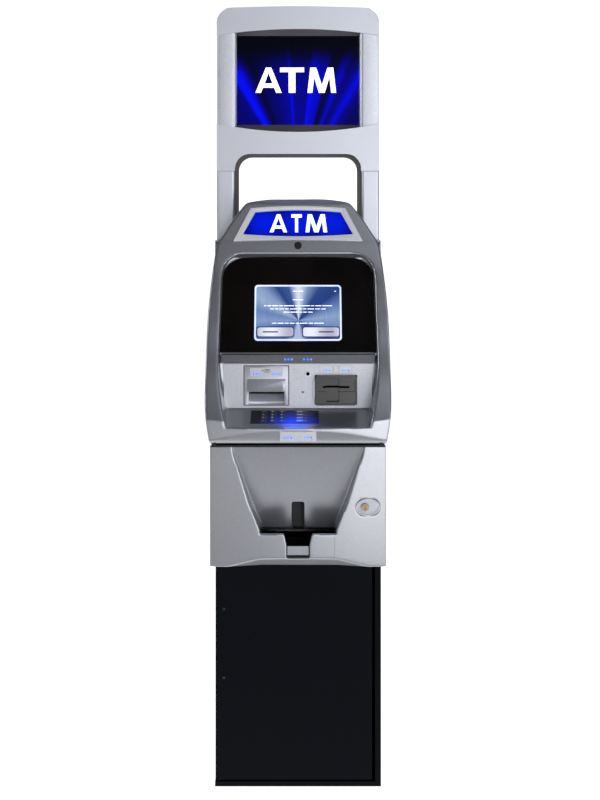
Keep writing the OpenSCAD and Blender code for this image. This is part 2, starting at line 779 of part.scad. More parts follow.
module fascia_shell() color("#a9acb4") difference() {
    union() {
        difference() {
            intersection() {
                side_view(far) fascia_side();
                front_slab(lip_y - cut, part_y) fascia_front();
                bowed_slab(head_w + 2, lip_y + bow, part_y, head_low - cut, hood_top + cut, bow);
            }
            difference() {
                fascia_room();
                recess(skin);
            }
            recess();
        }
        // back wall of the hood, above the rear housing
        intersection() {
            front_slab(part_y - skin, part_y) fascia_front();
            block([-far, part_y - skin, leg_z + 2], [far, part_y, far * 2]);
        }
    }
    // windows behind the screen, the upright panel, the keypad and the sign
    on_face(screen_low[0], screen_low[1], screen_tilt)
        translate([0, screen_len / 2, -10]) linear_extrude(20)
            square([2 * recess_half - 50, screen_len - 30], center = true);
    block([-recess_half + 20, shelf_back[0] - cut, shelf_back[1] + 7],
        [recess_half - 20, shelf_back[0] + skin + cut, device_top[1] - 4]);
    on_shelf() translate([0, 0, -15]) linear_extrude(30)
        square([2 * pad_half + 2 * run, pad_len + 2 * run], center = true);
    on_face(hood_low[0], hood_low[1], hood_tilt) translate([0, 0, -12]) linear_extrude(24)
        hood_sign_shape(run);
    bar([0, lip_y, head_lock_z], head_lock_r + run, fascia_d - 20, "y");
    // seats of the hinge pins, and slots for the ears that hold them
    for (x = [-1, 1]) {
        translate([x * (half_chest + 2), hinge_y, hinge_z]) bar([-8, 0, 0], 3 + run, 16, "x");
        translate([x * (half_chest - 8), 0, 0]) block([-3, hinge_y - 12, head_low - cut],
            [3, hinge_y + 14, hinge_z + 3]);
    }
    on_face(lip_y + 1.5, head_low) translate([-41, 5, 0]) cube([82, 27, 20]);
}

// Black glass with round upper corners and the opening for the screen
module screen_surround() color("#131110") on_face(screen_low[0], screen_low[1], screen_tilt) {
    half = recess_half - 3.5;
    corner = 48;
    linear_extrude(glass_t) difference() {
        union() {
            translate([-half, 1]) square([2 * half, screen_len - corner - 1]);
            translate([-half + corner, 1]) square([2 * (half - corner), screen_len - 1]);
            for (x = [-1, 1]) translate([x * (half - corner), screen_len - corner]) circle(corner);
        }
        translate([0, screen_mid]) arc_rect(screen_w + 4, screen_h + 4, 6);
    }
}

module touch_screen() color("#3b5fae") on_face(screen_low[0], screen_low[1], screen_tilt)
    translate([0, screen_mid, 0.5]) linear_extrude(glass_t - 1) arc_rect(screen_w + 3, screen_h + 3, 5.5);

module screen_module() color("#7d8087") on_face(screen_low[0], screen_low[1], screen_tilt)
    translate([0, screen_mid, -30]) difference() {
        linear_extrude(30) square([screen_w + 24, screen_h + 16], center = true);
        for (x = [-1, 1], y = [-1, 1])
            translate([x * (screen_w / 2 + 6), y * (screen_h / 2 + 2), -cut]) cylinder(r = 1.7, h = 8);
    }

// Puts children on the upright panel's front face; local X and Y start at the centre and the shelf
module on_panel() {
    on_face(shelf_back[0], shelf_back[1]) children();
}

module device_panel() color("#bfc1c8") on_panel() linear_extrude(panel_t) difference() {
    translate([-recess_half + 10, 1]) square([2 * recess_half - 20, device_h - 2]);
    for (at = [printer_at, card_at])
        translate([at[0], at[1]]) square([at[2] + 2 * run, at[3] + 2 * run], center = true);
    translate(jack_at) circle(4.2);
}

module light_strip() color("#7f828a") side_view(2 * recess_half - 8) polygon([
    band_low, device_top + [0, 0.5], screen_low + [-1, -2], band_top
]);

// A row of three lamps on each side of a label: [x of each group, y of both, spacing]
module lamp_rows(xs, y, pitch, r, h) {
    for (x = xs, i = [-1:1]) translate([x + i * pitch, y, 0]) cylinder(r = r, h = h);
}

// Blue lamps of the light band, both device labels and the cash label
module led_lenses() color("#1c6cff") {
    on_face(band_low[0], band_low[1], band_tilt) lamp_rows([-21, 21], 8.5, 7.5, 2.2, 1);
    on_panel() translate([0, 0, panel_t + 1.7]) lamp_rows([-92, -48], 76.5, 6.5, 1.9, 0.8);
    on_panel() translate([0, 0, panel_t + 1.2]) lamp_rows([63.5, 105], 84, 6.5, 1.9, 0.8);
    on_face(lip_y + 0.7, head_low) lamp_rows([-21, 21], 16, 6.8, 1.9, 0.8);
}

// Plates with the printer, card and cash symbols
module label_plates() color("#9fa2aa") {
    on_panel() translate([printer_at[0], 81, panel_t + 0.5]) linear_extrude(1.2) arc_rect(73, 19, 2);
    on_panel() translate([card_at[0], 87.5, panel_t]) linear_extrude(1.2) arc_rect(72, 17, 2);
    on_face(lip_y + 1.5, head_low) translate([0, 18.5, 0]) linear_extrude(0.8) arc_rect(78, 23, 2);
}

// Receipt outlet: frame, the hood over the slot, and the ramp that the paper slides down
module printer_bezel() color("#b4b6bd") on_panel() difference() {
    union() {
        translate([printer_at[0] - printer_at[2] / 2, printer_at[1] - printer_at[3] / 2, -2])
            cube([printer_at[2], printer_at[3], panel_t + 2.5]);
        translate([printer_at[0] - 42, 0, 0]) rotate([90, 0, 90]) linear_extrude(84)
            polygon([[39, 0], [65, 0], [65, panel_t + 1], [39, panel_t + 14]]);
        translate([printer_at[0] - 42, 8, -18]) cube([84, 31, 18]);
    }
    // chute: deep at the slot, coming forward down the ramp
    translate([printer_at[0] - 39, 0, 0]) rotate([90, 0, 90]) linear_extrude(78)
        polygon([[11, panel_t + 4], [11, panel_t - 1], [30, -14], [30, -20], [36, -20],
            [36, panel_t + 8], [38, panel_t + 22], [20, panel_t + 22]]);
}

// Printer block with the two arms that carry the paper roll
module printer_body() color("#46494f") difference() {
    union() {
        block([printer_at[0] - 48, shelf_back[0] + 18 + run, shelf_back[1] + 10],
            [printer_at[0] + 48, shelf_back[0] + 74, shelf_back[1] + 92]);
        for (x = [-46.5, 46.5])
            block([printer_at[0] + x - 1.5, shelf_back[0] + 73, roll_at[1] - 12],
                [printer_at[0] + x + 1.5, roll_at[0] + 10, roll_at[1] + 12]);
    }
    block([printer_at[0] - 36, shelf_back[0] + 18, shelf_back[1] + 30],
        [printer_at[0] + 36, shelf_back[0] + 75, shelf_back[1] + 36]);
    bar([printer_at[0] - 52, roll_at[0], roll_at[1]], 5 + run, 104, "x");
}

module paper_roll() color("#efeee8") {
    bar([printer_at[0] - 50, roll_at[0], roll_at[1]], 5, 100, "x");
    bar([printer_at[0] - 40, roll_at[0], roll_at[1]], 38, 80, "x");
}

// Card mouth: raised black frame, level slot and the finger recess across it
module card_bezel() color("#101012") on_panel() difference() {
    union() {
        translate([card_at[0] - card_at[2] / 2, card_at[1] - card_at[3] / 2, -1])
            cube([card_at[2], card_at[3], panel_t + 1]);
        translate([card_at[0], card_at[1], panel_t - eps]) linear_extrude(10)
            arc_rect(card_at[2], card_at[3], 7);
    }
    translate([card_at[0] - 30, 46, -4]) cube([60, 4.4, 30]);
    translate([card_at[0] - 23, 20, 2]) cube([30, 46, 30]);
}

module card_reader() color("#5a5d63") on_panel() difference() {
    translate([card_at[0] - 38, 16, -88]) cube([76, 54, 87]);
    translate([card_at[0] - 30, 46, -70]) cube([60, 4.4, 80]);
}

// Keypad base with a well under each key
module keypad_plate() color("#26282c") on_shelf() difference() {
    translate([-pad_half, -pad_len / 2, -pad_t]) cube([2 * pad_half, pad_len, pad_t + 1]);
    for (k = [0:3 * key_rows - 1]) translate(key_place(k))
        key_block(key_w + 2 * run, key_d + 2 * run, -pad_t + 1, 2);
    for (r = [0:key_rows - 1]) translate(func_place(r))
        key_block(func_w + 2 * run, key_d + 2 * run, -pad_t + 1, 2);
}

module key_block(w, d, low, high) {
    translate([-w / 2, -d / 2, low]) cube([w, d, high - low]);
}

function row_place(r) = (1.5 - r) * row_pitch;
function key_place(k) = [num_x0 - pad_x + (k % 3) * key_pitch, row_place(floor(k / 3)), 0];
function func_place(r) = [func_x - pad_x, row_place(r), 0];

module number_key(k) color("#8f9298") on_shelf() translate(key_place(k)) key_block(key_w, key_d, -1, key_t);

module function_key(r) color("#8f9298") on_shelf() translate(func_place(r))
    key_block(func_w, key_d, -1, key_t);

module hood_lens() color("#0a1fd0") on_face(hood_low[0], hood_low[1], hood_tilt)
    translate([0, 0, -skin]) linear_extrude(skin + 0.6) hood_sign_shape(0);

// Lock of the front: cylinder in the brow, long rod, and the cam that catches behind the housing's rail
module head_lock() color("#2b2a29") translate([0, 0, head_lock_z]) difference() {
    union() {
        bar([0, hood_low[0] - 7, 0], head_lock_r, 28, "y");
        bar([0, hood_low[0], 0], 4, part_y + 9 - hood_low[0], "y");
        block([-6, part_y + 6, -5], [30, part_y + 9, 5]);
    }
    block([-1, hood_low[0] - 8, -4.5], [1, hood_low[0], 4.5]);
}

// ---- Raised sign ----

module leg(side) difference() {
    translate([side * (sign_w / 2 - leg_w / 2), (sign_y + sign_back) / 2, leg_z])
        linear_extrude(leg_h) arc_rect(leg_w, sign_d, 7);
    translate([side * (sign_w / 2 - leg_w / 2), (sign_y + sign_back) / 2, leg_z - cut])
        linear_extrude(leg_h + 2 * cut) arc_rect(leg_w - 2 * sheet, sign_d - 2 * sheet, 4);
}

module leg_left() color("#a9acb4") leg(-1);

module leg_right() color("#a9acb4") leg(1);

// Front view of the sign's shell: crowned top with round corners, and the arch between its feet
module sign_outline(grow = 0) {
    half = sign_w / 2;
    crown = 11;
    r = (half * half + crown * crown) / (2 * crown);
    corner = 18;
    difference() {
        intersection() {
            offset(delta = grow) union() {
                translate([-half, sign_z]) square([sign_w, sign_h - crown - corner]);
                translate([-half + corner, sign_z]) square([sign_w - 2 * corner, sign_h]);
                for (x = [-1, 1]) translate([x * (half - corner), sign_top - crown - corner])
                    circle(corner);
            }
            translate([0, sign_top - r]) circle(r + grow, $fn = 360);
        }
        offset(delta = -grow) sign_arch();
    }
}

module sign_arch() {
    half = sign_w / 2 - leg_w;
    corner = 36;
    translate([-half, sign_z - 20]) square([2 * half, arch_z - sign_z + 20 - corner]);
    translate([-half + corner, sign_z - 20]) square([2 * (half - corner), arch_z - sign_z + 20]);
    for (x = [-1, 1]) translate([x * (half - corner), arch_z - corner]) circle(corner);
}

module sign_shell() color("#b0b3bc") difference() {
    front_slab(sign_y, sign_back) sign_outline();
    front_slab(sign_y + skin, sign_back - skin) sign_outline(-skin);
    block([-window_w / 2, sign_y - cut, window_z],
        [window_w / 2, sign_y + skin + cut, window_z + window_h]);
    for (row = [0:5])
        block([-60, sign_back - skin - cut, sign_top - 90 + row * 10],
            [60, sign_back + cut, sign_top - 86 + row * 10]);
}

// Lit picture panel behind the window
module sign_lens() color("#0a10a8")
    block([-window_w / 2 - 4, sign_y + skin, window_z - 4],
        [window_w / 2 + 4, sign_y + skin + 12, window_z + window_h + 4]);

// ---- Drawing ----

chest_shell();
vault_door();
door_screws();
lock_dial();
bolt_bar();
vault_handle();
lower_panel();
cash_tray();
panel_hinge();
lock_escutcheon();
panel_lock();
dispenser_frame();
dispenser_motor();
pick_shaft();
cash_cassette();
head_base();
head_housing();
rear_cover();
cover_screws();
main_board();
power_supply();
power_inlet();
fan_frame();
fan_rotor();
fascia_shell();
screen_surround();
touch_screen();
screen_module();
device_panel();
light_strip();
led_lenses();
label_plates();
printer_bezel();
printer_body();
paper_roll();
card_bezel();
card_reader();
keypad_plate();
hood_lens();
head_lock();
for (k = [0:3 * key_rows - 1])
    number_key(k);
for (r = [1:key_rows])
    function_key(r - 1);
leg_left();
leg_right();
sign_shell();
sign_lens();
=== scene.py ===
"""A free-standing cash machine: silver moulded head and sign over a dark steel chest.

Metres. X is to the right of someone using it, -Y is its front, +Z is up, and the floor is Z = 0.
"""

import json
import math

import bpy
from mathutils import Matrix, Vector

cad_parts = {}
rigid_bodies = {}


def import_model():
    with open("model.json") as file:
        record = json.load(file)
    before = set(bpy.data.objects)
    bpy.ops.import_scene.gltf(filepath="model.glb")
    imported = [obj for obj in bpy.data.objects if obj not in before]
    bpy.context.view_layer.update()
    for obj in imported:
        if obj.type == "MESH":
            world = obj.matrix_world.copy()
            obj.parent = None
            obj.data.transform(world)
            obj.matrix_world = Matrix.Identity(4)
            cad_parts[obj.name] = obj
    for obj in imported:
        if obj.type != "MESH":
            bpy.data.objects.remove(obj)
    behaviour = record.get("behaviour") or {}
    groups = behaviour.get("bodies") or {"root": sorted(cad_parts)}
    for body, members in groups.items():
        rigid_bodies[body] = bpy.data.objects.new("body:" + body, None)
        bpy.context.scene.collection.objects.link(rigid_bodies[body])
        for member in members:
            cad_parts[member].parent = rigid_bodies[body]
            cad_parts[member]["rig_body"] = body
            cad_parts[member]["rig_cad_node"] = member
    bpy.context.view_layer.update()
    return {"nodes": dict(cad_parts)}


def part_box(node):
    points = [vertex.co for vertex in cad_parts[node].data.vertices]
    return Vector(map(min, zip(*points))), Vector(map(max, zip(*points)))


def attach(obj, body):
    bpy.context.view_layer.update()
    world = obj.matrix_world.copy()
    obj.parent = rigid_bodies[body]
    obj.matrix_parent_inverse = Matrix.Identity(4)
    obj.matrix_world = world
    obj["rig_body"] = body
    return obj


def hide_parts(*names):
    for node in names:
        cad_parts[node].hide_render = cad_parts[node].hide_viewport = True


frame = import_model()

# ---------------------------------------------------------------------------
# Moulded front. One vacuum-formed ABS shell, painted silver: lip, shelf, two
# cheeks, brow and sign hood. It tilts forward on two pins behind its lip.
# ---------------------------------------------------------------------------
front_low, front_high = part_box("fascia_shell")
lip_y, base_z = front_low.y, front_low.z
part_y, hood_top = front_high.y, front_high.z
head_half = front_high.x
wall = 0.004
shelf_front = (lip_y + 0.012, base_z + 0.0375)
shelf_back = (lip_y + 0.098, base_z + 0.0625)
panel_top = (lip_y + 0.098, base_z + 0.1625)
glass_foot = (lip_y + 0.107, base_z + 0.1835)
glass_head = (lip_y + 0.185, base_z + 0.3935)
hood_foot = (lip_y + 0.183, base_z + 0.4305)
hood_crest = (lip_y + 0.233, base_z + 0.5155)
housing_top = base_z + 0.4295


def alone(obj):
    """Makes obj the only thing that an operator acts on."""
    if bpy.context.object and bpy.context.object.mode != "OBJECT":
        bpy.ops.object.mode_set(mode="OBJECT")
    bpy.ops.object.select_all(action="DESELECT")
    obj.select_set(True)
    bpy.context.view_layer.objects.active = obj
    return obj


def facing(y, z, lean=0.0):
    """A plane across the machine: local Y climbs it, local Z comes out of it. Lean is from upright."""
    return Matrix.Translation((0, y, z)) @ Matrix.Rotation(math.pi / 2 - lean, 4, "X")


from_side = Matrix(((0, 0, 1, 0), (1, 0, 0, 0), (0, 1, 0, 0), (0, 0, 0, 1)))
from_front = facing(0, 0)


def slab(name, outline, low, high, place):
    """An outline filled and extruded from low to high, then put in its place."""
    mesh = bpy.data.meshes.new(name)
    mesh.from_pydata([(u, v, low) for u, v in outline], [], [list(range(len(outline)))])
    obj = bpy.data.objects.new(name, mesh)
    bpy.context.scene.collection.objects.link(obj)
    alone(obj)
    bpy.ops.object.mode_set(mode="EDIT")
    bpy.ops.mesh.select_all(action="SELECT")
    bpy.ops.mesh.extrude_region_move(TRANSFORM_OT_translate={"value": (0, 0, high - low)})
    bpy.ops.mesh.select_all(action="SELECT")
    bpy.ops.mesh.normals_make_consistent(inside=False)
    bpy.ops.object.mode_set(mode="OBJECT")
    mesh.transform(place)
    return obj


def modify(obj, kind, **settings):
    """Adds one modifier, sets it, and applies it."""
    alone(obj)
    modifier = obj.modifiers.new(kind, kind)
    for key, value in settings.items():
        setattr(modifier, key, value)
    bpy.ops.object.modifier_apply(modifier=modifier.name)
    return obj


def carve(obj, *tools, how="DIFFERENCE", solver="MANIFOLD"):
    """Cuts, joins or trims obj with each tool in turn."""
    for tool in tools:
        modify(obj, "BOOLEAN", object=tool, operation=how, solver=solver)
        bpy.data.objects.remove(tool)
    return obj


def curve_through(points, steps):
    """A smooth line through the points, which keeps its two ends."""
    line = []
    for i in range(len(points) - 1):
        before = Vector(points[max(i - 1, 0)])
        start, end = Vector(points[i]), Vector(points[i + 1])
        after = Vector(points[min(i + 2, len(points) - 1)])
        for s in range(steps):
            t = s / steps
            line.append(0.5 * (2 * start + (end - before) * t
                               + (2 * before - 5 * start + 4 * end - after) * t ** 2
                               + (3 * start - before - 3 * end + after) * t ** 3))
    line.append(Vector(points[-1]))
    return line


def rounded(corners, steps=8):
    """An outline whose corners (x, y, radius) become arcs."""
    outline = []
    for i, (x, y, radius) in enumerate(corners):
        here = Vector((x, y))
        if radius <= 0:
            outline.append(here)
            continue
        back = (Vector(corners[i - 1][:2]) - here).normalized()
        on = (Vector(corners[(i + 1) % len(corners)][:2]) - here).normalized()
        half = back.angle(on) / 2
        centre = here + (back + on).normalized() * radius / math.sin(half)
        first = here + back * radius / math.tan(half) - centre
        last = here + on * radius / math.tan(half) - centre
        turn = math.atan2(first.x * last.y - first.y * last.x, first.dot(last))
        outline += [centre + Matrix.Rotation(turn * s / steps, 2) @ first for s in range(steps + 1)]
    return outline


def both_sides(half):
    """The half-width outline (half, z), bottom to top, mirrored to both sides."""
    return [(x, z) for x, z in half] + [(-x, z) for x, z in reversed(half)]


def box_tool(low, high):
    """A block for cutting, given by two corners."""
    return slab("tool", [(low[0], low[1]), (high[0], low[1]), (high[0], high[1]), (low[0], high[1])],
                low[2], high[2], Matrix.Identity(4))


def soften(obj, voxel, passes, keep):
    """Rounds every edge as a moulding's are: a fine remesh, smoothed, then thinned."""
    modify(obj, "REMESH", mode="VOXEL", voxel_size=voxel)
    modify(obj, "SMOOTH", factor=0.5, iterations=passes)
    modify(obj, "DECIMATE", ratio=keep)
    return obj


def smooth(obj, degrees=35):
    """Smooth shading that keeps the edges sharper than the angle."""
    alone(obj)
    bpy.ops.object.shade_smooth_by_angle(angle=math.radians(degrees))
    return obj


def head_side():
    """Side view of the head, from the hinge edge up over lip, cheek and brow to the hood's crest."""
    edge = curve_through([(0.015, 0), (0.0085, 0.0055), (0.003, 0.022), (0, 0.0375), (0.012, 0.0625),
                          (0.032, 0.0965), (0.058, 0.1365), (0.081, 0.1855), (0.105, 0.2591),
                          (0.142, 0.3595), (0.175, 0.4185), (0.183, 0.4305)], 6)
    edge += [Vector((0.233, 0.5155)), Vector((0.246, 0.5255)), Vector((0.272, 0.5295))]
    return [(lip_y + v.x, base_z + v.y) for v in edge]


def head_front():
    """Front view of the head: widest beside the screen, drawn in to the hood."""
    body = curve_through([(0.0125, 0), (0.006, 0.04), (0.001, 0.0895), (0, 0.1835), (0.0015, 0.2585),
                          (0.006, 0.3235), (0.015, 0.4045), (0.021, 0.4305)], 6)
    hood = curve_through([(0.037, 0.4545), (0.049, 0.4741), (0.0685, 0.5010)], 4)
    crown = curve_through([(0.0785, 0.5135), (0.087, 0.5190), (0.110, 0.5232), (0.150, 0.5275),
                           (head_half, 0.5295)], 5)
    return [(head_half - v.x, base_z + v.y) for v in body + hood + crown[:-1]]


def recess_half(z):
    """Half width between the cheeks at a height over the base."""
    if z > 0.1835:
        return 0.175 - 0.003 * min((z - 0.1835) / 0.17, 1)
    return 0.152 + 0.023 * math.sin(math.pi / 2 * max((z - 0.030) / 0.1535, 0))


recess_top = base_z + 0.4025
back_room = 0.03
shell = slab("front_shell", head_side() + [(part_y + back_room, hood_top), (part_y + back_room, base_z)],
             -0.3, 0.3, from_side)
carve(shell, slab("tool", both_sides(head_front()), -part_y - back_room - 0.01, 0.4, from_front), how="INTERSECT")
bow_sag, bow_steps = 0.008, 24
bow = [(head_half * t, lip_y + bow_sag * t * t) for t in [2 * i / bow_steps - 1 for i in range(bow_steps + 1)]]
carve(shell, slab("tool", bow + [(head_half, part_y + 0.05), (-head_half, part_y + 0.05)], 0.7, 1.4,
                  Matrix.Identity(4)), how="INTERSECT")
room = slab("tool", [shelf_front, shelf_back, panel_top, glass_foot, glass_head,
                     (glass_head[0] - 0.024, recess_top + 0.002), (lip_y - 0.06, recess_top + 0.03),
                     (lip_y - 0.06, shelf_front[1])], -0.3, 0.3, from_side)
sides = [(recess_half(z), base_z + z) for z in [0.030 + 0.0154 * i for i in range(11)] + [0.26, 0.335]]
top_arc = [(0.172 - 0.05 * (1 - math.cos(a)), recess_top - 0.05 * (1 - math.sin(a)))
           for a in [math.pi / 2 * i / 10 for i in range(1, 11)]]
crown = [(0.122 * (1 - i / 6), recess_top + 0.006 * (1 - (1 - i / 6) ** 2)) for i in range(1, 6)]
carve(room, slab("tool", both_sides(sides + top_arc + crown), -part_y, 0.4, from_front), how="INTERSECT")
carve(shell, room)
soften(shell, 0.0022, 14, 0.3)
alone(shell)
bpy.ops.object.mode_set(mode="EDIT")
bpy.ops.mesh.select_all(action="SELECT")
bpy.ops.mesh.bisect(plane_co=(0, part_y, 0), plane_no=(0, 1, 0), clear_outer=True, use_fill=True)
bpy.ops.object.mode_set(mode="OBJECT")
modify(shell, "SOLIDIFY", thickness=wall, offset=-1)

# openings for the glass, the device panel, the keypad, the sign and the lock, then the open back and foot
glass_lean = math.atan2(glass_head[0] - glass_foot[0], glass_head[1] - glass_foot[1])
glass_slope = facing(glass_foot[0], glass_foot[1], glass_lean)
glass_length = math.dist(glass_foot, glass_head)
shelf_lean = math.atan2(shelf_back[1] - shelf_front[1], shelf_back[0] - shelf_front[0])
hood_lean = math.atan2(hood_crest[0] - hood_foot[0], hood_crest[1] - hood_foot[1])
hood_slope = facing(hood_foot[0], hood_foot[1], hood_lean)
pad_low, pad_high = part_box("keypad_plate")
pad_mid_y = (pad_low.y + pad_high.y) / 2
pad_half = (pad_high.x - pad_low.x) / 2
pad_x = (pad_high.x + pad_low.x) / 2
pad_z = (shelf_front[1] + (shelf_back[1] - shelf_front[1])
         * (pad_mid_y + 0.0008 - shelf_front[0]) / (shelf_back[0] - shelf_front[0]))
pad_place = (Matrix.Translation((pad_x, pad_mid_y + 0.0008, pad_z)) @ Matrix.Rotation(shelf_lean, 4, "X"))


def block_outline(width, height, radius=0.0, at=(0, 0)):
    """A rectangle with round corners, centred."""
    u, v = width / 2, height / 2
    return rounded([(at[0] - u, at[1] - v, radius), (at[0] + u, at[1] - v, radius),
                    (at[0] + u, at[1] + v, radius), (at[0] - u, at[1] + v, radius)])


def sign_window(grow=0.0):
    """Outline of the hood's sign: wide foot, narrow head, both bowed out."""
    sag = 0.0055
    foot, head, low, high = 0.1255 + grow, 0.0985 + grow * 0.6, 0.0186 - grow, 0.0751 + grow
    bowed_low = [(foot * t, low - sag * (1 - t * t)) for t in [i / 8 for i in range(-8, 9)]]
    bowed_high = [(-head * t, high + sag * (1 - t * t)) for t in [i / 8 for i in range(-8, 9)]]
    return bowed_low + bowed_high


tools = [
    slab("tool", block_outline(0.298, glass_length - 0.03, 0.004, (0, glass_length / 2)), -0.012, 0.01, glass_slope),
    box_tool((-0.154, shelf_back[0] - 0.001, shelf_back[1] + 0.007),
             (0.154, shelf_back[0] + wall + 0.003, panel_top[1] - 0.004)),
    slab("tool", block_outline(2 * pad_half + 0.0004, 0.0634, 0.002), -0.02, 0.02, pad_place),
    slab("tool", sign_window(0.0003), -0.014, 0.012, hood_slope),
    slab("tool", block_outline(0.0172, 0.0172, 0.0085), -0.03, 0.05,
         facing(hood_foot[0], housing_top - 0.009)),
    slab("tool", both_sides([(x - 0.007, min(z, housing_top + 0.001)) for x, z in head_front() if z < housing_top]),
         -part_y - 0.003, -part_y + 0.0062, from_front),
    slab("tool", [(0.186, lip_y + 0.024), (0.186, part_y + 0.003), (-0.186, part_y + 0.003), (-0.186, lip_y + 0.024)],
         base_z - 0.003, base_z + 0.0055, Matrix.Identity(4)),
]
for x in (-0.178, 0.178):
    tools += [box_tool((x - 0.003, lip_y + 0.003, base_z - 0.003), (x + 0.003, lip_y + 0.029, base_z + 0.0042)),
              box_tool((x - 0.003, lip_y + 0.0100, base_z + 0.0035), (x + 0.003, lip_y + 0.029, base_z + 0.0115))]
carve(shell, *tools)


def node_tree(name):
    """A new material with its shader, ready for more nodes."""
    material = bpy.data.materials.new(name)
    material.use_nodes = True
    return material, material.node_tree, material.node_tree.nodes["Principled BSDF"]


def mottle(tree, scale, low, high, detail=2.0):
    """Noise between two colours, read from the piece's own space."""
    place = tree.nodes.new("ShaderNodeTexCoord")
    noise = tree.nodes.new("ShaderNodeTexNoise")
    noise.inputs["Scale"].default_value = scale
    noise.inputs["Detail"].default_value = detail
    ramp = tree.nodes.new("ShaderNodeValToRGB")
    ramp.color_ramp.elements[0].position = 0.35
    ramp.color_ramp.elements[1].position = 0.65
    ramp.color_ramp.elements[0].color = (*low, 1)
    ramp.color_ramp.elements[1].color = (*high, 1)
    tree.links.new(place.outputs["Object"], noise.inputs["Vector"])
    tree.links.new(noise.outputs["Fac"], ramp.inputs["Fac"])
    return noise, ramp


def cloudy_gloss(tree, shader, scale, low, high):
    """Roughness that wanders between two values over the surface."""
    cloud, _ = mottle(tree, scale, (0, 0, 0), (1, 1, 1))
    spread = tree.nodes.new("ShaderNodeMapRange")
    spread.inputs["To Min"].default_value = low
    spread.inputs["To Max"].default_value = high
    tree.links.new(cloud.outputs["Fac"], spread.inputs["Value"])
    tree.links.new(spread.outputs["Result"], shader.inputs["Roughness"])


def grain_bump(tree, shader, scale, strength, distance):
    """A fine bump over the whole surface."""
    noise, _ = mottle(tree, scale, (0, 0, 0), (1, 1, 1), detail=3.0)
    bump = tree.nodes.new("ShaderNodeBump")
    bump.inputs["Strength"].default_value = strength
    bump.inputs["Distance"].default_value = distance
    tree.links.new(noise.outputs["Fac"], bump.inputs["Height"])
    tree.links.new(bump.outputs["Normal"], shader.inputs["Normal"])
    return noise


def silver_paint(name, tone=(0.45, 0.46, 0.485), metal=0.78, rough=0.28):
    """Sprayed silver with fine metal flake under a thin clear coat."""
    material, tree, shader = node_tree(name)
    shader.inputs["Metallic"].default_value = metal
    shader.inputs["Coat Weight"].default_value = 0.12
    shader.inputs["Coat Roughness"].default_value = 0.2
    _, flake = mottle(tree, 1500, [c * 0.80 for c in tone], [min(c * 1.22, 1) for c in tone])
    tree.links.new(flake.outputs["Color"], shader.inputs["Base Color"])
    cloudy_gloss(tree, shader, 7, rough - 0.03, rough + 0.05)
    grain_bump(tree, shader, 1900, 0.10, 0.0004)
    return material


def wear(obj, material, body, slot, *nodes):
    """Gives a finished piece its material and its body, and hides the nodes that it stands for; the slot is not used.
    """
    obj.data.materials.clear()
    obj.data.materials.append(material)
    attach(obj, body)
    if nodes:
        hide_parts(*nodes)
    return obj


silver = silver_paint("silver_paint")
wear(smooth(shell, 40), silver, "front", "silver_paint", "fascia_shell")

# ---------------------------------------------------------------------------
# Hood sign. A blue acrylic lens lit from behind, with three plain letters on
# it, held by a bright rim pressed over its edge.
# ---------------------------------------------------------------------------
def bevel(obj, width, segments=2, degrees=30):
    """Breaks the edges sharper than the angle."""
    modify(obj, "BEVEL", width=width, segments=segments, limit_method="ANGLE",
           angle_limit=math.radians(degrees))
    modify(smooth(obj), "WEIGHTED_NORMAL", weight=100, keep_sharp=True)
    return obj


def sign_rim(grow, lift):
    """Outline of the rim's outer edge on the hood's slope."""
    foot, head = 0.1385 + grow, 0.1035 + grow * 0.7
    low = [(foot * t, 0.0085 - grow + 0.0035 * (1 - t * t)) for t in [i / 8 for i in range(-8, 9)]]
    high = [(-head * t, 0.0805 + grow * 0.6 + lift * (1 - t * t)) for t in [i / 8 for i in range(-8, 9)]]
    return low + high


rim = slab("hood_sign_rim", sign_rim(0.009, 0.0058), -0.0045, 0.0026, hood_slope)
carve(rim, slab("tool", sign_window(0.0012), -0.01, 0.01, hood_slope))
carve(rim, slab("tool", sign_window(0.0065), 0.0008, 0.01, hood_slope))
bright_silver = silver_paint("bright_silver", (0.97, 0.98, 1.0), 0.10, 0.35)
wear(bevel(rim, 0.0007), bright_silver, "front", "satin_silver")


def lit_blue(name, place, base, hot, spots, reach):
    """Acrylic lit from behind: brightest near each lamp, falling off towards the edges."""
    material, tree, shader = node_tree(name)
    shader.inputs["Roughness"].default_value = 0.3
    shader.inputs["Specular IOR Level"].default_value = 0.08
    shader.inputs["Base Color"].default_value = (0.0, 0.004, 0.12, 1)
    shader.inputs["Emission Strength"].default_value = 1.0
    coordinate = tree.nodes.new("ShaderNodeTexCoord")
    total = None
    for spot in spots:
        point = place @ Vector((spot[0], spot[1], 0))
        away = tree.nodes.new("ShaderNodeVectorMath")
        away.operation = "DISTANCE"
        away.inputs[1].default_value = point
        tree.links.new(coordinate.outputs["Object"], away.inputs[0])
        near = tree.nodes.new("ShaderNodeMapRange")
        near.interpolation_type = "SMOOTHERSTEP"
        near.inputs["From Min"].default_value = 0.0
        near.inputs["From Max"].default_value = reach
        near.inputs["To Min"].default_value = 1.0
        near.inputs["To Max"].default_value = 0.0
        tree.links.new(away.outputs["Value"], near.inputs["Value"])
        if total is None:
            total = near.outputs["Result"]
        else:
            most = tree.nodes.new("ShaderNodeMath")
            most.operation = "MAXIMUM"
            tree.links.new(total, most.inputs[0])
            tree.links.new(near.outputs["Result"], most.inputs[1])
            total = most.outputs["Value"]
    ramp = tree.nodes.new("ShaderNodeValToRGB")
    ramp.color_ramp.elements[0].color = (*base, 1)
    ramp.color_ramp.elements[1].color = (*hot, 1)
    tree.links.new(total, ramp.inputs["Fac"])
    tree.links.new(ramp.outputs["Color"], shader.inputs["Emission Color"])
    return material


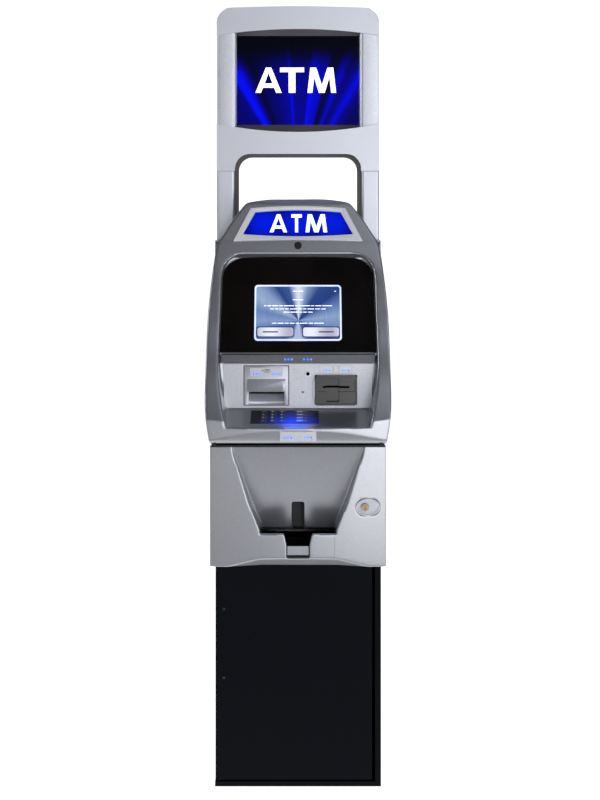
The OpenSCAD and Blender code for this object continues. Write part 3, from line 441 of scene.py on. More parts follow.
hood_blue = lit_blue("hood_blue", hood_slope, (0.0, 0.0, 0.13), (0.0, 0.008, 0.66),
                     [(-0.078, 0.047), (0.078, 0.047), (0, 0.05)], 0.068)
hood_lens = slab("hood_sign_lens", sign_window(), -0.0035, 0.0004, hood_slope)
wear(bevel(hood_lens, 0.0003, 1), hood_blue, "front", "blue_lens", "hood_lens")

glow_white, tree, shader = node_tree("glow_white")
shader.inputs["Base Color"].default_value = (0.9, 0.92, 1.0, 1)
shader.inputs["Roughness"].default_value = 0.3
_, tint = mottle(tree, 60, (0.86, 0.90, 1.0), (1.0, 1.0, 1.0))
tree.links.new(tint.outputs["Color"], shader.inputs["Emission Color"])
shader.inputs["Emission Strength"].default_value = 1.0


def letter(name, strokes, at, size, low, high, place):
    """A letter of plain strokes, drawn in a unit box, then set at its place and size."""
    made = None
    for stroke in strokes:
        piece = slab(name, [(at[0] + u * size[0], at[1] + v * size[1]) for u, v in stroke], low, high, place)
        if made is None:
            made = piece
        else:
            carve(made, piece, how="UNION", solver="EXACT")
    made.name = name
    return made


letter_a = [[(0, 0), (0.21, 0), (0.58, 1), (0.40, 1)], [(0.79, 0), (1, 0), (0.60, 1), (0.42, 1)],
            [(0.2, 0.2), (0.8, 0.2), (0.73, 0.37), (0.27, 0.37)]]
letter_t = [[(0, 0.82), (1, 0.82), (1, 1), (0, 1)], [(0.36, 0), (0.64, 0), (0.64, 0.9), (0.36, 0.9)]]
letter_m = [[(0, 0), (0.17, 0), (0.235, 0.62), (0.40, 0), (0.60, 0), (0.765, 0.62), (0.83, 0), (1, 0),
             (0.90, 1), (0.70, 1), (0.50, 0.30), (0.30, 1), (0.10, 1)]]
for name, strokes, left, width in (("a", letter_a, -0.0650, 0.0400), ("t", letter_t, -0.0155, 0.0245),
                                   ("m", letter_m, 0.0175, 0.0495)):
    glyph = letter("hood_letter_" + name, strokes, (left, 0.0228), (width, 0.0475), 0.0003, 0.0010, hood_slope)
    wear(smooth(glyph), glow_white, "front", "blue_lens")

# Lock in the brow: a dark cylinder with its key slot, in a dark cup pressed into an oval recess.
brow_z = housing_top - 0.009


def ring(name, outer, inner, low, high, place, round_edge):
    """A flat ring between two outlines."""
    obj = slab(name, outer, low, high, place)
    carve(obj, slab("tool", inner, low - 0.01, high + 0.01, place))
    return bevel(obj, round_edge)


def oval(half_width, half_height, count=48, at=(0, 0)):
    """Points round an oval."""
    return [(at[0] + half_width * math.cos(2 * math.pi * i / count),
             at[1] + half_height * math.sin(2 * math.pi * i / count)) for i in range(count)]


brow_lean = math.radians(12)
brow_place = facing(hood_foot[0] - 0.0035, brow_z, brow_lean)


def worn_metal(name, tone, rough, scale=40, metal=1.0):
    """Plated or turned metal with a little uneven wear."""
    material, tree, shader = node_tree(name)
    shader.inputs["Metallic"].default_value = metal
    _, shade = mottle(tree, scale, [c * 0.72 for c in tone], tone)
    tree.links.new(shade.outputs["Color"], shader.inputs["Base Color"])
    cloudy_gloss(tree, shader, scale * 3, max(rough - 0.08, 0.04), rough + 0.08)
    return material


def eased(node, name, width, material, body, slot, segments=2, degrees=30):
    """A copy of a CAD piece with its edges broken as real ones are, standing for that node."""
    obj = frame["nodes"][node].copy()
    obj.data = obj.data.copy()
    obj.name = name
    obj.parent = None
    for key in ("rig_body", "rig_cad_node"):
        if key in obj:
            del obj[key]
    bpy.context.scene.collection.objects.link(obj)
    alone(obj)
    bpy.ops.object.mode_set(mode="EDIT")
    bpy.ops.mesh.select_all(action="SELECT")
    bpy.ops.mesh.remove_doubles(threshold=0.00002)
    bpy.ops.mesh.dissolve_limited(angle_limit=math.radians(1.5))
    bpy.ops.object.mode_set(mode="OBJECT")
    modify(obj, "BEVEL", width=width, segments=segments, limit_method="ANGLE",
           angle_limit=math.radians(degrees), use_clamp_overlap=True)
    modify(smooth(obj), "WEIGHTED_NORMAL", weight=100, keep_sharp=True)
    wear(obj, material, body, slot, node)
    return obj


dark_lock = worn_metal("dark_lock", (0.022, 0.020, 0.019), 0.35)
cup = ring("brow_lock_cup", oval(0.0104, 0.0082), oval(0.0070, 0.0064), -0.002, 0.0012, brow_place, 0.0006)
wear(cup, dark_lock, "front", "lock_metal")
eased("head_lock", "brow_lock", 0.0004, dark_lock, "front_lock", "lock_metal")

# ---------------------------------------------------------------------------
# Screen. Black toughened glass over the whole slope, clear over the display,
# which shows a brushed blue fan of light, lines of bars and two buttons.
# ---------------------------------------------------------------------------
glass_thickness, screen_mid = 0.004, 0.092
screen_w, screen_h, screen_corner = 0.196, 0.130, 0.008
glass_black, tree, shader = node_tree("glass_black")
_, smoke = mottle(tree, 9, (0.0040, 0.0034, 0.0031), (0.0070, 0.0058, 0.0052))
tree.links.new(smoke.outputs["Color"], shader.inputs["Base Color"])
shader.inputs["Roughness"].default_value = 0.12
shader.inputs["Specular IOR Level"].default_value = 0.22

glass_outline = both_sides(
    [(0.1738, 0.0008), (0.1728, 0.05), (0.1712, 0.11), (0.1705, glass_length - 0.051)]
    + [(0.1705 - 0.048 * (1 - math.cos(a)), glass_length - 0.003 - 0.048 * (1 - math.sin(a)))
       for a in [math.pi / 2 * i / 12 for i in range(1, 13)]]
    + [(0.1225 * (1 - i / 5), glass_length - 0.003 + 0.004 * (1 - (1 - i / 5) ** 2)) for i in range(1, 5)])
glass = slab("screen_glass", glass_outline, 0.0002, glass_thickness, glass_slope)
carve(glass, slab("tool", block_outline(screen_w + 0.001, screen_h + 0.001, screen_corner, (0, screen_mid)),
                  -0.01, 0.02, glass_slope))
wear(bevel(glass, 0.0008), glass_black, "front", "black_gloss", "screen_surround")

display_glow, tree, shader = node_tree("display_glow")
shader.inputs["Base Color"].default_value = (0.01, 0.012, 0.02, 1)
shader.inputs["Roughness"].default_value = 0.1
fan_centre = glass_slope @ Vector((0.001, screen_mid - 0.0185, 0))
coordinate = tree.nodes.new("ShaderNodeTexCoord")
turned = tree.nodes.new("ShaderNodeMapping")
turned.vector_type = "TEXTURE"
turned.inputs["Location"].default_value = fan_centre
turned.inputs["Rotation"].default_value = (math.pi / 2 - glass_lean, 0, 0)
tree.links.new(coordinate.outputs["Object"], turned.inputs["Vector"])
fan = tree.nodes.new("ShaderNodeTexGradient")
fan.gradient_type = "RADIAL"
tree.links.new(turned.outputs["Vector"], fan.inputs["Vector"])
shades = tree.nodes.new("ShaderNodeValToRGB")
beams = [(-180, 0.26, 0.38, 0.66), (-165, 0.10, 0.19, 0.48), (-125, 0.07, 0.15, 0.42), (-104, 0.45, 0.56, 0.80),
         (-84, 0.52, 0.62, 0.85), (-64, 0.08, 0.16, 0.44), (-30, 0.02, 0.05, 0.22), (-12, 0.17, 0.28, 0.56),
         (8, 0.30, 0.42, 0.70), (24, 0.13, 0.22, 0.50), (38, 0.016, 0.05, 0.24), (58, 0.025, 0.07, 0.27),
         (74, 0.22, 0.34, 0.62), (82, 0.55, 0.66, 0.86), (90, 0.85, 0.91, 1.0), (98, 0.45, 0.56, 0.80),
         (106, 0.05, 0.11, 0.36), (122, 0.018, 0.055, 0.25), (138, 0.28, 0.40, 0.68), (150, 0.36, 0.48, 0.74),
         (165, 0.16, 0.27, 0.55), (180, 0.26, 0.38, 0.66)]
for degrees, red, green, blue in beams:
    place = (degrees + 180) / 360
    if degrees in (-180, 180):
        stop = shades.color_ramp.elements[0 if degrees < 0 else -1]
    else:
        stop = shades.color_ramp.elements.new(place)
    stop.position = place
    stop.color = (red, green, blue, 1)
tree.links.new(fan.outputs["Fac"], shades.inputs["Fac"])
brush = tree.nodes.new("ShaderNodeTexNoise")
brush.inputs["Scale"].default_value = 420
stretch = tree.nodes.new("ShaderNodeMapping")
stretch.inputs["Scale"].default_value = (1, 0.04, 0.04)
tree.links.new(coordinate.outputs["Object"], stretch.inputs["Vector"])
tree.links.new(stretch.outputs["Vector"], brush.inputs["Vector"])
mix = tree.nodes.new("ShaderNodeMix")
mix.data_type = "RGBA"
mix.blend_type = "OVERLAY"
mix.inputs["Factor"].default_value = 0.22
tree.links.new(shades.outputs["Color"], mix.inputs[6])
tree.links.new(brush.outputs["Fac"], mix.inputs[7])
tree.links.new(mix.outputs[2], shader.inputs["Emission Color"])
shader.inputs["Emission Strength"].default_value = 0.85
display = slab("display", block_outline(screen_w, screen_h, screen_corner - 0.0005, (0, screen_mid)),
               0.0007, glass_thickness - 0.0006, glass_slope)
wear(bevel(display, 0.0003, 1), display_glow, "front", "screen", "touch_screen")

edge_glow, tree, shader = node_tree("display_edge_glow")
shader.inputs["Base Color"].default_value = (0.5, 0.6, 0.8, 1)
_, edge_tone = mottle(tree, 30, (0.60, 0.74, 0.98), (0.90, 0.96, 1.0))
tree.links.new(edge_tone.outputs["Color"], shader.inputs["Emission Color"])
shader.inputs["Emission Strength"].default_value = 0.72
border = ring("display_border", block_outline(screen_w - 0.0008, screen_h - 0.0008, screen_corner, (0, screen_mid)),
              block_outline(screen_w - 0.0078, screen_h - 0.0078, 0.0055, (0, screen_mid)),
              glass_thickness - 0.0007, glass_thickness - 0.0001, glass_slope, 0.0001)
wear(border, edge_glow, "front", "screen")


def bars(name, rows, material, height):
    """Rows of word-long bars: (centre x, centre y, word lengths), all joined into one piece."""
    made = []
    for centre_x, centre_y, words in rows:
        length = sum(words) + 0.0022 * (len(words) - 1)
        start = centre_x - length / 2
        for word in words:
            made.append(slab(name, block_outline(word, height, 0.0006, (start + word / 2, screen_mid + centre_y)),
                             glass_thickness - 0.0007, glass_thickness - 0.0002, glass_slope))
            start += word + 0.0022
    alone(made[0])
    for piece in made:
        piece.select_set(True)
    bpy.ops.object.join()
    made[0].name = name
    return wear(smooth(made[0]), material, "front", "screen")


mm = 0.001
bars("display_lines", [
    (0, 50 * mm, [9 * mm, 12 * mm]),
    (0, 30 * mm, [24 * mm]),
    (0, 16 * mm, [w * mm for w in (6, 8, 14, 9, 22, 8, 24, 7, 14, 22)]),
    (0, 8.6 * mm, [w * mm for w in (9, 7, 10, 9, 17, 9, 7, 15, 12, 10)]),
    (0, 1.2 * mm, [w * mm for w in (14, 18, 6, 8, 11)]),
    (0, -24.5 * mm, [w * mm for w in (10, 14, 9, 11, 7, 18, 10, 22)]),
    (84 * mm, 50 * mm, [4 * mm]),
], glow_white, 0.0016)

button_glow, tree, shader = node_tree("button_glow")
coordinate = tree.nodes.new("ShaderNodeTexCoord")
wave = tree.nodes.new("ShaderNodeTexWave")
wave.bands_direction = "X"
wave.inputs["Scale"].default_value = 3.6
wave.inputs["Phase Offset"].default_value = 1.2
tree.links.new(coordinate.outputs["Object"], wave.inputs["Vector"])
sheen = tree.nodes.new("ShaderNodeValToRGB")
sheen.color_ramp.elements[0].color = (0.34, 0.34, 0.46, 1)
sheen.color_ramp.elements[1].color = (0.86, 0.87, 0.93, 1)
tree.links.new(wave.outputs["Fac"], sheen.inputs["Fac"])
tree.links.new(sheen.outputs["Color"], shader.inputs["Emission Color"])
shader.inputs["Base Color"].default_value = (0.3, 0.3, 0.36, 1)
shader.inputs["Emission Strength"].default_value = 0.8
navy, tree, shader = node_tree("label_navy")
_, navy_tone = mottle(tree, 80, (0.012, 0.02, 0.14), (0.02, 0.03, 0.2))
tree.links.new(navy_tone.outputs["Color"], shader.inputs["Base Color"])
for side, x in (("left", -0.0505), ("right", 0.0515)):
    at = (x, screen_mid - 0.0445)
    frame_bar = slab("display_button_edge_" + side, block_outline(0.0850, 0.0250, 0.006, at),
                     glass_thickness - 0.0008, glass_thickness - 0.00035, glass_slope)
    wear(smooth(frame_bar), navy, "front", "screen")
    button = slab("display_button_" + side, block_outline(0.0805, 0.0205, 0.005, at),
                  glass_thickness - 0.0006, glass_thickness - 0.0002, glass_slope)
    wear(smooth(button), button_glow, "front", "screen")
    label = slab("display_button_label_" + side, block_outline(0.034, 0.0028, 0.0008, (x * 1.22, at[1])),
                 glass_thickness - 0.0004, glass_thickness - 0.0001, glass_slope)
    wear(smooth(label), navy, "front", "screen")

# ---------------------------------------------------------------------------
# Lamp band and device panel. A painted plate with a folded grey band over it;
# blue lamps, pressed label plates, a jack ring and small raised marks.
# ---------------------------------------------------------------------------
panel_face = -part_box("device_panel")[0].y
# the device plate's silver is lightened as painted light, making up for the shade of the recess around it
panel_paint_lightened = silver_paint("panel_paint_lightened", (0.66, 0.67, 0.70), 0.40, 0.40)
eased("device_panel", "device_plate", 0.0005, panel_paint_lightened, "front", "panel_grey")
band_paint = silver_paint("band_paint", (0.13, 0.13, 0.14), 0.5, 0.42)
eased("light_strip", "lamp_band", 0.0008, band_paint, "front", "band_grey")

lamp_blue, tree, shader = node_tree("lamp_blue")
shader.inputs["Base Color"].default_value = (0.0, 0.03, 0.35, 1)
shader.inputs["Roughness"].default_value = 0.15
_, lamp_tone = mottle(tree, 260, (0.0, 0.08, 0.9), (0.06, 0.28, 1.0))
tree.links.new(lamp_tone.outputs["Color"], shader.inputs["Emission Color"])
shader.inputs["Emission Strength"].default_value = 1.9
eased("led_lenses", "lamps", 0.0002, lamp_blue, "front", "blue_lens", segments=1)

plate_satin = silver_paint("plate_satin", (0.56, 0.57, 0.61), 0.5, 0.32)
eased("label_plates", "symbol_plates", 0.0004, plate_satin, "front", "satin_silver")

mark_grey, tree, shader = node_tree("mark_grey")
_, mark_tone = mottle(tree, 200, (0.10, 0.105, 0.13), (0.15, 0.155, 0.18))
tree.links.new(mark_tone.outputs["Color"], shader.inputs["Base Color"])
shader.inputs["Roughness"].default_value = 0.6


def joined(name, pieces):
    """Joins loose pieces into one object."""
    alone(pieces[0])
    for piece in pieces:
        piece.select_set(True)
    bpy.ops.object.join()
    pieces[0].name = name
    return smooth(pieces[0])


def line_mark(points, width, low, high, place):
    """A raised line through the points."""
    ends = [Vector(p) for p in points]
    across = (ends[-1] - ends[0]).orthogonal().normalized() * width / 2
    return slab("mark", [p + across for p in ends] + [p - across for p in reversed(ends)], low, high, place)


# marks: a hand taking a slip, and a card between two guides
slip_x, slip_z, slip_face = -0.070, shelf_back[1] + 0.0825, panel_face + 0.0017
hand_and_slip = ([(-12, 1.2), (-2, 4.6), (9, 4.6), (9, 3.4), (-1, 3.2), (-11, 0.2)],
                 [(-1, 2.4), (5, 2.2), (10, -1.4), (8.6, -2.2), (4.2, 0.6), (-2, 1.0)],
                 [(-6, -0.8), (2, -0.4), (6, -4.2), (4.4, -4.6), (0.6, -1.8), (-5, -2.2)])
slip = [slab("mark", [(slip_x + u * mm, slip_z + v * mm) for u, v in outline],
             slip_face - 0.0002, slip_face + 0.00015, from_front) for outline in hand_and_slip]
wear(joined("slip_mark", slip), mark_grey, "front", "satin_silver")
card_x, card_z, card_face = 0.084, shelf_back[1] + 0.0875, panel_face + 0.0012
card = [line_mark([(card_x + u * mm, card_z - 6 * mm), (card_x + u * mm, card_z + 6 * mm)], 0.0008,
                  card_face - 0.0002, card_face + 0.00015, from_front) for u in (-6.4, 6.4)]
card += [line_mark([(card_x + u * mm, card_z + 6 * mm), (card_x + v * mm, card_z + 6 * mm)], 0.0008,
                   card_face - 0.0002, card_face + 0.00015, from_front) for u, v in ((-9, -6.4), (6.4, 9))]
wear(joined("card_mark", card), mark_grey, "front", "satin_silver")

# jack ring, diamond and the small raised dots around them
jack_x, jack_z = 0.022, shelf_back[1] + 0.077
jack_chrome = worn_metal("jack_chrome", (0.62, 0.62, 0.64), 0.18)
jack_outside, jack_bore = [oval(radius, radius, 32, (jack_x, jack_z)) for radius in (0.0062, 0.0040)]
jack_ring = ring("jack_ring", jack_outside, jack_bore, panel_face - 0.0003, panel_face + 0.0018, from_front, 0.0006)
wear(jack_ring, jack_chrome, "front", "satin_silver")
dot_rows, dot_count = (0.0865, 0.0785, 0.0655), 14
dots = [(-0.0105 + 0.0049 * (i % 4) + 0.0012 * (i % 3), shelf_back[1] + dot_rows[i % 3] + 0.0011 * (i % 2))
        for i in range(dot_count)]
diamond = [(0.0105 + u * mm, shelf_back[1] + 0.0365 + v * mm) for u, v in ((-4.2, 0), (0, -2.7), (4.2, 0), (0, 2.7))]
marks = [slab("mark", diamond, panel_face - 0.0002, panel_face + 0.0002, from_front)]
marks += [slab("mark", oval(0.0006, 0.0006, 10, dot), panel_face - 0.0002, panel_face + 0.0004, from_front)
          for dot in dots]
wear(joined("panel_marks", marks), mark_grey, "front", "panel_grey")

# ---------------------------------------------------------------------------
# Receipt outlet. A moulded frame let into the panel: label field on top, a
# hood bowed over the slot, and a ramp between two cheeks that carries the slip.
# ---------------------------------------------------------------------------
outlet = frame["nodes"]["printer_bezel"].copy()
outlet.data = outlet.data.copy()
outlet.name = "receipt_outlet"
outlet.parent = None
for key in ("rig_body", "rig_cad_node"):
    if key in outlet:
        del outlet[key]
bpy.context.scene.collection.objects.link(outlet)
alone(outlet)
bpy.ops.object.mode_set(mode="EDIT")
bpy.ops.mesh.select_all(action="SELECT")
bpy.ops.mesh.remove_doubles(threshold=0.00002)
bpy.ops.object.mode_set(mode="OBJECT")
edge_x = slip_x + 0.0395
carve(outlet, slab("tool", [(-0.0405 + slip_x, shelf_back[1] + 0.0095), (0.0405 + slip_x, shelf_back[1] + 0.0095),
                            (0.0405 + slip_x, shelf_back[1] + 0.0375), (-0.0405 + slip_x, shelf_back[1] + 0.0375)],
                   panel_face - 0.0045, 0.3, from_front), solver="EXACT")
carve(outlet, slab("tool", [(edge_x - 0.0035, -0.003), (edge_x + 0.006, -0.003), (edge_x + 0.006, -0.030),
                            (edge_x - 0.0005, -0.030)], 0.015, 0.1,
                   facing(-panel_face, shelf_back[1], 0) @ Matrix.Rotation(-math.pi / 2, 4, "X")))
modify(outlet, "BEVEL", width=0.0007, segments=2, limit_method="ANGLE", angle_limit=math.radians(30))
wear(smooth(outlet), plate_satin, "front", "satin_silver", "printer_bezel")
frame_ring = ring("outlet_frame", block_outline(0.1000, 0.0880, 0.001, (slip_x, shelf_back[1] + 0.051)),
                  block_outline(0.0968, 0.0848, 0.001, (slip_x, shelf_back[1] + 0.051)),
                  panel_face - 0.001, panel_face + 0.0011, from_front, 0.0003)
wear(frame_ring, band_paint, "front", "satin_silver")

# ---------------------------------------------------------------------------
# Card mouth. Glossy black bezel standing out of the panel, dished, with a
# finger notch down its middle, the slot across it and a silver wing behind.
# ---------------------------------------------------------------------------
gloss_black, tree, shader = node_tree("gloss_black")
_, gloss_tone = mottle(tree, 30, (0.008, 0.008, 0.008), (0.018, 0.016, 0.015))
tree.links.new(gloss_tone.outputs["Color"], shader.inputs["Base Color"])
shader.inputs["Roughness"].default_value = 0.22
shader.inputs["Coat Weight"].default_value = 0.4
grain_bump(tree, shader, 900, 0.08, 0.0003)
mouth_low, mouth_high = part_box("card_bezel")
mouth_x, mouth_z = (mouth_low.x + mouth_high.x) / 2, (mouth_low.z + mouth_high.z) / 2
mouth_w, mouth_h = mouth_high.x - mouth_low.x, mouth_high.z - mouth_low.z
slot_z = shelf_back[1] + 0.0482
mouth = slab("card_mouth", block_outline(mouth_w, mouth_h, 0.007, (mouth_x, mouth_z)), panel_face - 0.0050,
             panel_face + 0.0099, from_front)
dish = slab("tool", block_outline(mouth_w - 0.007, mouth_h - 0.007, 0.005, (mouth_x, mouth_z)),
            panel_face + 0.0070, panel_face + 0.02, from_front)
carve(mouth, dish)
notch = (mouth_x - 0.0225, mouth_x + 0.0065)
ledge = (0.0045, 0.03, mouth_x - 0.040, notch[1] + 0.034, slot_z - 0.010, slot_z + 0.012)
thumb_well = (-0.0030, 0.03, notch[0], notch[1], mouth_low.z + 0.0075, mouth_high.z - 0.0065)
slot = (-0.02, 0.03, mouth_x - 0.0295, mouth_x + 0.0295, slot_z - 0.0021, slot_z + 0.0021)
for low, high, x0, x1, z0, z1 in (ledge, thumb_well, slot):
    carve(mouth, slab("tool", block_outline(x1 - x0, z1 - z0, 0.0018, ((x0 + x1) / 2, (z0 + z1) / 2)),
                      panel_face + low, panel_face + high, from_front))
wear(bevel(mouth, 0.0009, 3), gloss_black, "front", "black_gloss", "card_bezel")
# the silver wing behind the bezel's left edge
wing_out, wing_in = mouth_low.x - 0.0055, mouth_low.x + 0.004
wing = slab("card_wing", rounded([(wing_out, mouth_z - 0.016, 0.003), (wing_in, mouth_z - 0.023, 0.001),
                                  (wing_in, mouth_z + 0.023, 0.001), (wing_out, mouth_z + 0.019, 0.003)]),
            panel_face - 0.0002, panel_face + 0.0028, from_front)
wear(bevel(wing, 0.0008), plate_satin, "front", "satin_silver")
arrow = [slab("mark", outline, panel_face + 0.0069, panel_face + 0.0072, from_front) for outline in
         ([(mouth_x + 0.014, slot_z + 0.0165), (mouth_x + 0.031, slot_z + 0.0165), (mouth_x + 0.029, slot_z + 0.0180),
           (mouth_x + 0.016, slot_z + 0.0180)],
          [(mouth_x + 0.020, slot_z - 0.0150), (mouth_x + 0.030, slot_z - 0.0150), (mouth_x + 0.030, slot_z - 0.0162),
           (mouth_x + 0.020, slot_z - 0.0162)])]
wear(joined("card_marks", arrow), mark_grey, "front", "black_gloss")


def moulded_plastic(name, tone, rough=0.5, grain=700, depth=0.12):
    """Moulded plastic with a fine spark-eroded texture."""
    material, tree, shader = node_tree(name)
    _, shade = mottle(tree, 14, [c * 0.8 for c in tone], tone)
    tree.links.new(shade.outputs["Color"], shader.inputs["Base Color"])
    fog, _ = mottle(tree, 45, (0, 0, 0), (1, 1, 1))
    spread = tree.nodes.new("ShaderNodeMapRange")
    spread.inputs["To Min"].default_value = rough - 0.06
    spread.inputs["To Max"].default_value = rough + 0.08
    tree.links.new(fog.outputs["Fac"], spread.inputs["Value"])
    tree.links.new(spread.outputs["Result"], shader.inputs["Roughness"])
    grain_bump(tree, shader, grain, depth, 0.0004)
    return material


dark_plastic = moulded_plastic("dark_plastic", (0.030, 0.031, 0.034))
eased("card_reader", "reader_block", 0.0006, dark_plastic, "front", "dark_plastic")
eased("printer_body", "printer_block", 0.0008, dark_plastic, "front", "dark_plastic")

# Receipt roll: thermal paper wound tight on a card core.
roll_paper, tree, shader = node_tree("roll_paper")
coordinate = tree.nodes.new("ShaderNodeTexCoord")
winding = tree.nodes.new("ShaderNodeTexWave")
winding.wave_type = "RINGS"
winding.rings_direction = "X"
winding.inputs["Scale"].default_value = 90
winding.inputs["Distortion"].default_value = 0.6
centred = tree.nodes.new("ShaderNodeMapping")
roll_low, roll_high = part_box("paper_roll")
centred.inputs["Location"].default_value = [-(a + b) / 2 for a, b in zip(roll_low, roll_high)]
layers = tree.nodes.new("ShaderNodeValToRGB")
layers.color_ramp.elements[0].color = (0.62, 0.61, 0.57, 1)
layers.color_ramp.elements[1].color = (0.86, 0.85, 0.80, 1)
tree.links.new(coordinate.outputs["Object"], centred.inputs["Vector"])
tree.links.new(centred.outputs["Vector"], winding.inputs["Vector"])
tree.links.new(winding.outputs["Fac"], layers.inputs["Fac"])
tree.links.new(layers.outputs["Color"], shader.inputs["Base Color"])
shader.inputs["Roughness"].default_value = 0.85
eased("paper_roll", "receipt_roll", 0.0004, roll_paper, "roll", "paper", segments=1)
module_zinc = worn_metal("module_zinc", (0.42, 0.43, 0.44), 0.38)
eased("screen_module", "display_module", 0.0008, module_zinc, "front", "zinc")

# ---------------------------------------------------------------------------
# Keypad. Dark moulded plate let into the shelf with twelve metal-faced number
# keys and four function keys in wells, washed by blue light from below: a small blue lamp, and a blue glow painted
# onto the plate and keys.
# ---------------------------------------------------------------------------
def painted_blue_wash(name, tone, rough, centre, reach, blue, glow):
    """A dark surface with a painted blue glow, strongest near a point, standing for a blue lamp's light."""
    material, tree, shader = node_tree(name)
    _, shade = mottle(tree, 20, [c * 0.8 for c in tone], tone)
    tree.links.new(shade.outputs["Color"], shader.inputs["Base Color"])
    shader.inputs["Roughness"].default_value = rough
    coordinate = tree.nodes.new("ShaderNodeTexCoord")
    squash = tree.nodes.new("ShaderNodeMapping")
    squash.vector_type = "TEXTURE"
    squash.inputs["Location"].default_value = centre
    squash.inputs["Scale"].default_value = reach
    fall = tree.nodes.new("ShaderNodeTexGradient")
    fall.gradient_type = "QUADRATIC_SPHERE"
    tree.links.new(coordinate.outputs["Object"], squash.inputs["Vector"])
    tree.links.new(squash.outputs["Vector"], fall.inputs["Vector"])
    painted_glow_mix = tree.nodes.new("ShaderNodeMix")
    painted_glow_mix.data_type = "RGBA"
    painted_glow_mix.inputs[6].default_value = (0, 0, 0, 1)
    painted_glow_mix.inputs[7].default_value = (*blue, 1)
    tree.links.new(fall.outputs["Fac"], painted_glow_mix.inputs["Factor"])
    tree.links.new(painted_glow_mix.outputs[2], shader.inputs["Emission Color"])
    shader.inputs["Emission Strength"].default_value = glow
    grain_bump(tree, shader, 800, 0.1, 0.0003)
    return material


# painted light: the keypad plate and the keys glow blue, brightest near this point and fading outward
painted_wash_at = (pad_x + 0.016, pad_low.y + 0.004, pad_low.z + 0.010)
pad_plastic = painted_blue_wash("pad_plastic", (0.014, 0.015, 0.019), 0.45, painted_wash_at, (0.080, 0.064, 0.05), (0.0, 0.05, 1.0), 1.0)
eased("keypad_plate", "keypad_base", 0.0005, pad_plastic, "front", "dark_plastic")
key_metal = painted_blue_wash("key_metal", (0.075, 0.076, 0.083), 0.32, painted_wash_at, (0.074, 0.058, 0.05), (0.0, 0.04, 0.9), 0.35)
pad_white, tree, shader = node_tree("pad_white")
_, digit_tone = mottle(tree, 300, (0.72, 0.75, 0.82), (0.86, 0.88, 0.93))
tree.links.new(digit_tone.outputs["Color"], shader.inputs["Base Color"])
shader.inputs["Roughness"].default_value = 0.5
strokes_of = {"1": "bc", "2": "abged", "3": "abgcd", "4": "fgbc", "5": "afgcd", "6": "afgedc", "7": "abc",
              "8": "abcdefg", "9": "abcdfg", "0": "abcdef", "star": "g", "hash": "gbe"}
stroke_ends = {"a": ((0, 2), (1, 2)), "b": ((1, 1), (1, 2)), "c": ((1, 0), (1, 1)), "d": ((0, 0), (1, 0)),
               "e": ((0, 0), (0, 1)), "f": ((0, 1), (0, 2)), "g": ((0, 1), (1, 1))}
for node in sorted(n for n in frame["nodes"] if n.startswith(("key_", "function_key_"))):
    name = node.rsplit("_", 1)[1]
    low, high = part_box(node)
    middle = (low + high) / 2
    cap = eased(node, node + "_cap", 0.0008, key_metal, node, "key_metal", segments=3)
    out = Vector((0, -math.sin(shelf_lean), math.cos(shelf_lean)))
    top = max((v.co - middle).dot(out) for v in cap.data.vertices)
    place = Matrix.Translation(middle + out * top) @ Matrix.Rotation(shelf_lean, 4, "X")
    if node.startswith("function"):
        lines = [((-0.0095, 0.0016), (0.0040, 0.0016)), ((-0.0095, -0.0014), (0.0015, -0.0014))]
        wide = 0.0017
    else:
        column_step, row_step = 0.0026, 0.0023
        lines = [[(-0.0036 + u * column_step, -0.0021 + v * row_step) for u, v in stroke_ends[s]]
                 for s in strokes_of[name]]
        wide = 0.0011
    print_marks = [line_mark(line, wide, -0.0002, 0.00012, place) for line in lines]
    wear(joined(node + "_print", print_marks), pad_white, node, "key_metal")

# ---------------------------------------------------------------------------
# Lower panel. Silver moulded cover with the cash pocket in it; it swings on a
# hinge on the door. The dark insert behind its lip holds the notes.
# ---------------------------------------------------------------------------
cover = frame["nodes"]["lower_panel"].copy()
cover.data = cover.data.copy()
cover.name = "pocket_cover"
cover.parent = None
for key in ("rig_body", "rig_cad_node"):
    if key in cover:
        del cover[key]
bpy.context.scene.collection.objects.link(cover)
alone(cover)
bpy.ops.object.mode_set(mode="EDIT")
bpy.ops.mesh.select_all(action="SELECT")
bpy.ops.mesh.remove_doubles(threshold=0.00002)
bpy.ops.object.mode_set(mode="OBJECT")
cover_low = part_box("lower_panel")[0]
cover_bow, cover_half = 0.0082, 0.19
lip_top = cover_low.z + 0.072


def cover_front(x):
    """Y of the cover's front, which bows back towards both sides."""
    return cover_low.y + cover_bow * (x / cover_half) ** 2


# the finger gap flares at its foot and the notch through the lip narrows downward
notch_depth = -cover_low.y - 0.014
finger_gap = rounded([(-0.0185, lip_top - 0.006, 0.0), (0.0185, lip_top - 0.006, 0.0), (0.0185, lip_top - 0.002, 0.0),
                      (0.0125, lip_top + 0.004, 0.004), (0.0125, lip_top + 0.058, 0.004),
                      (-0.0125, lip_top + 0.058, 0.004), (-0.0125, lip_top + 0.004, 0.004),
                      (-0.0185, lip_top - 0.002, 0.0)])
carve(cover, slab("tool", finger_gap, 0.15, notch_depth, from_front), solver="EXACT")
carve(cover, slab("tool", [(-0.0255, lip_top - 0.020), (0.0255, lip_top - 0.020), (0.0285, lip_top - 0.006),
                           (0.0325, lip_top + 0.004), (-0.0325, lip_top + 0.004), (-0.0285, lip_top - 0.006)],
                  notch_depth - 0.002, 0.3, from_front), solver="EXACT")
soften(cover, 0.0017, 7, 0.30)
seam_low, seam_high, seam_half, seam_depth = cover_low.z + 0.0225, lip_top - 0.002, 0.0007, 0.0022
for x in (-0.0790, 0.0790):
    seam = [(x - seam_half, seam_low), (x + seam_half, seam_low), (x + seam_half, seam_high),
            (x - seam_half, seam_high)]
    carve(cover, slab("tool", seam, -cover_front(x) - seam_depth, 0.3, from_front))
wear(smooth(cover, 45), silver, "pocket_panel", "silver_paint", "lower_panel")

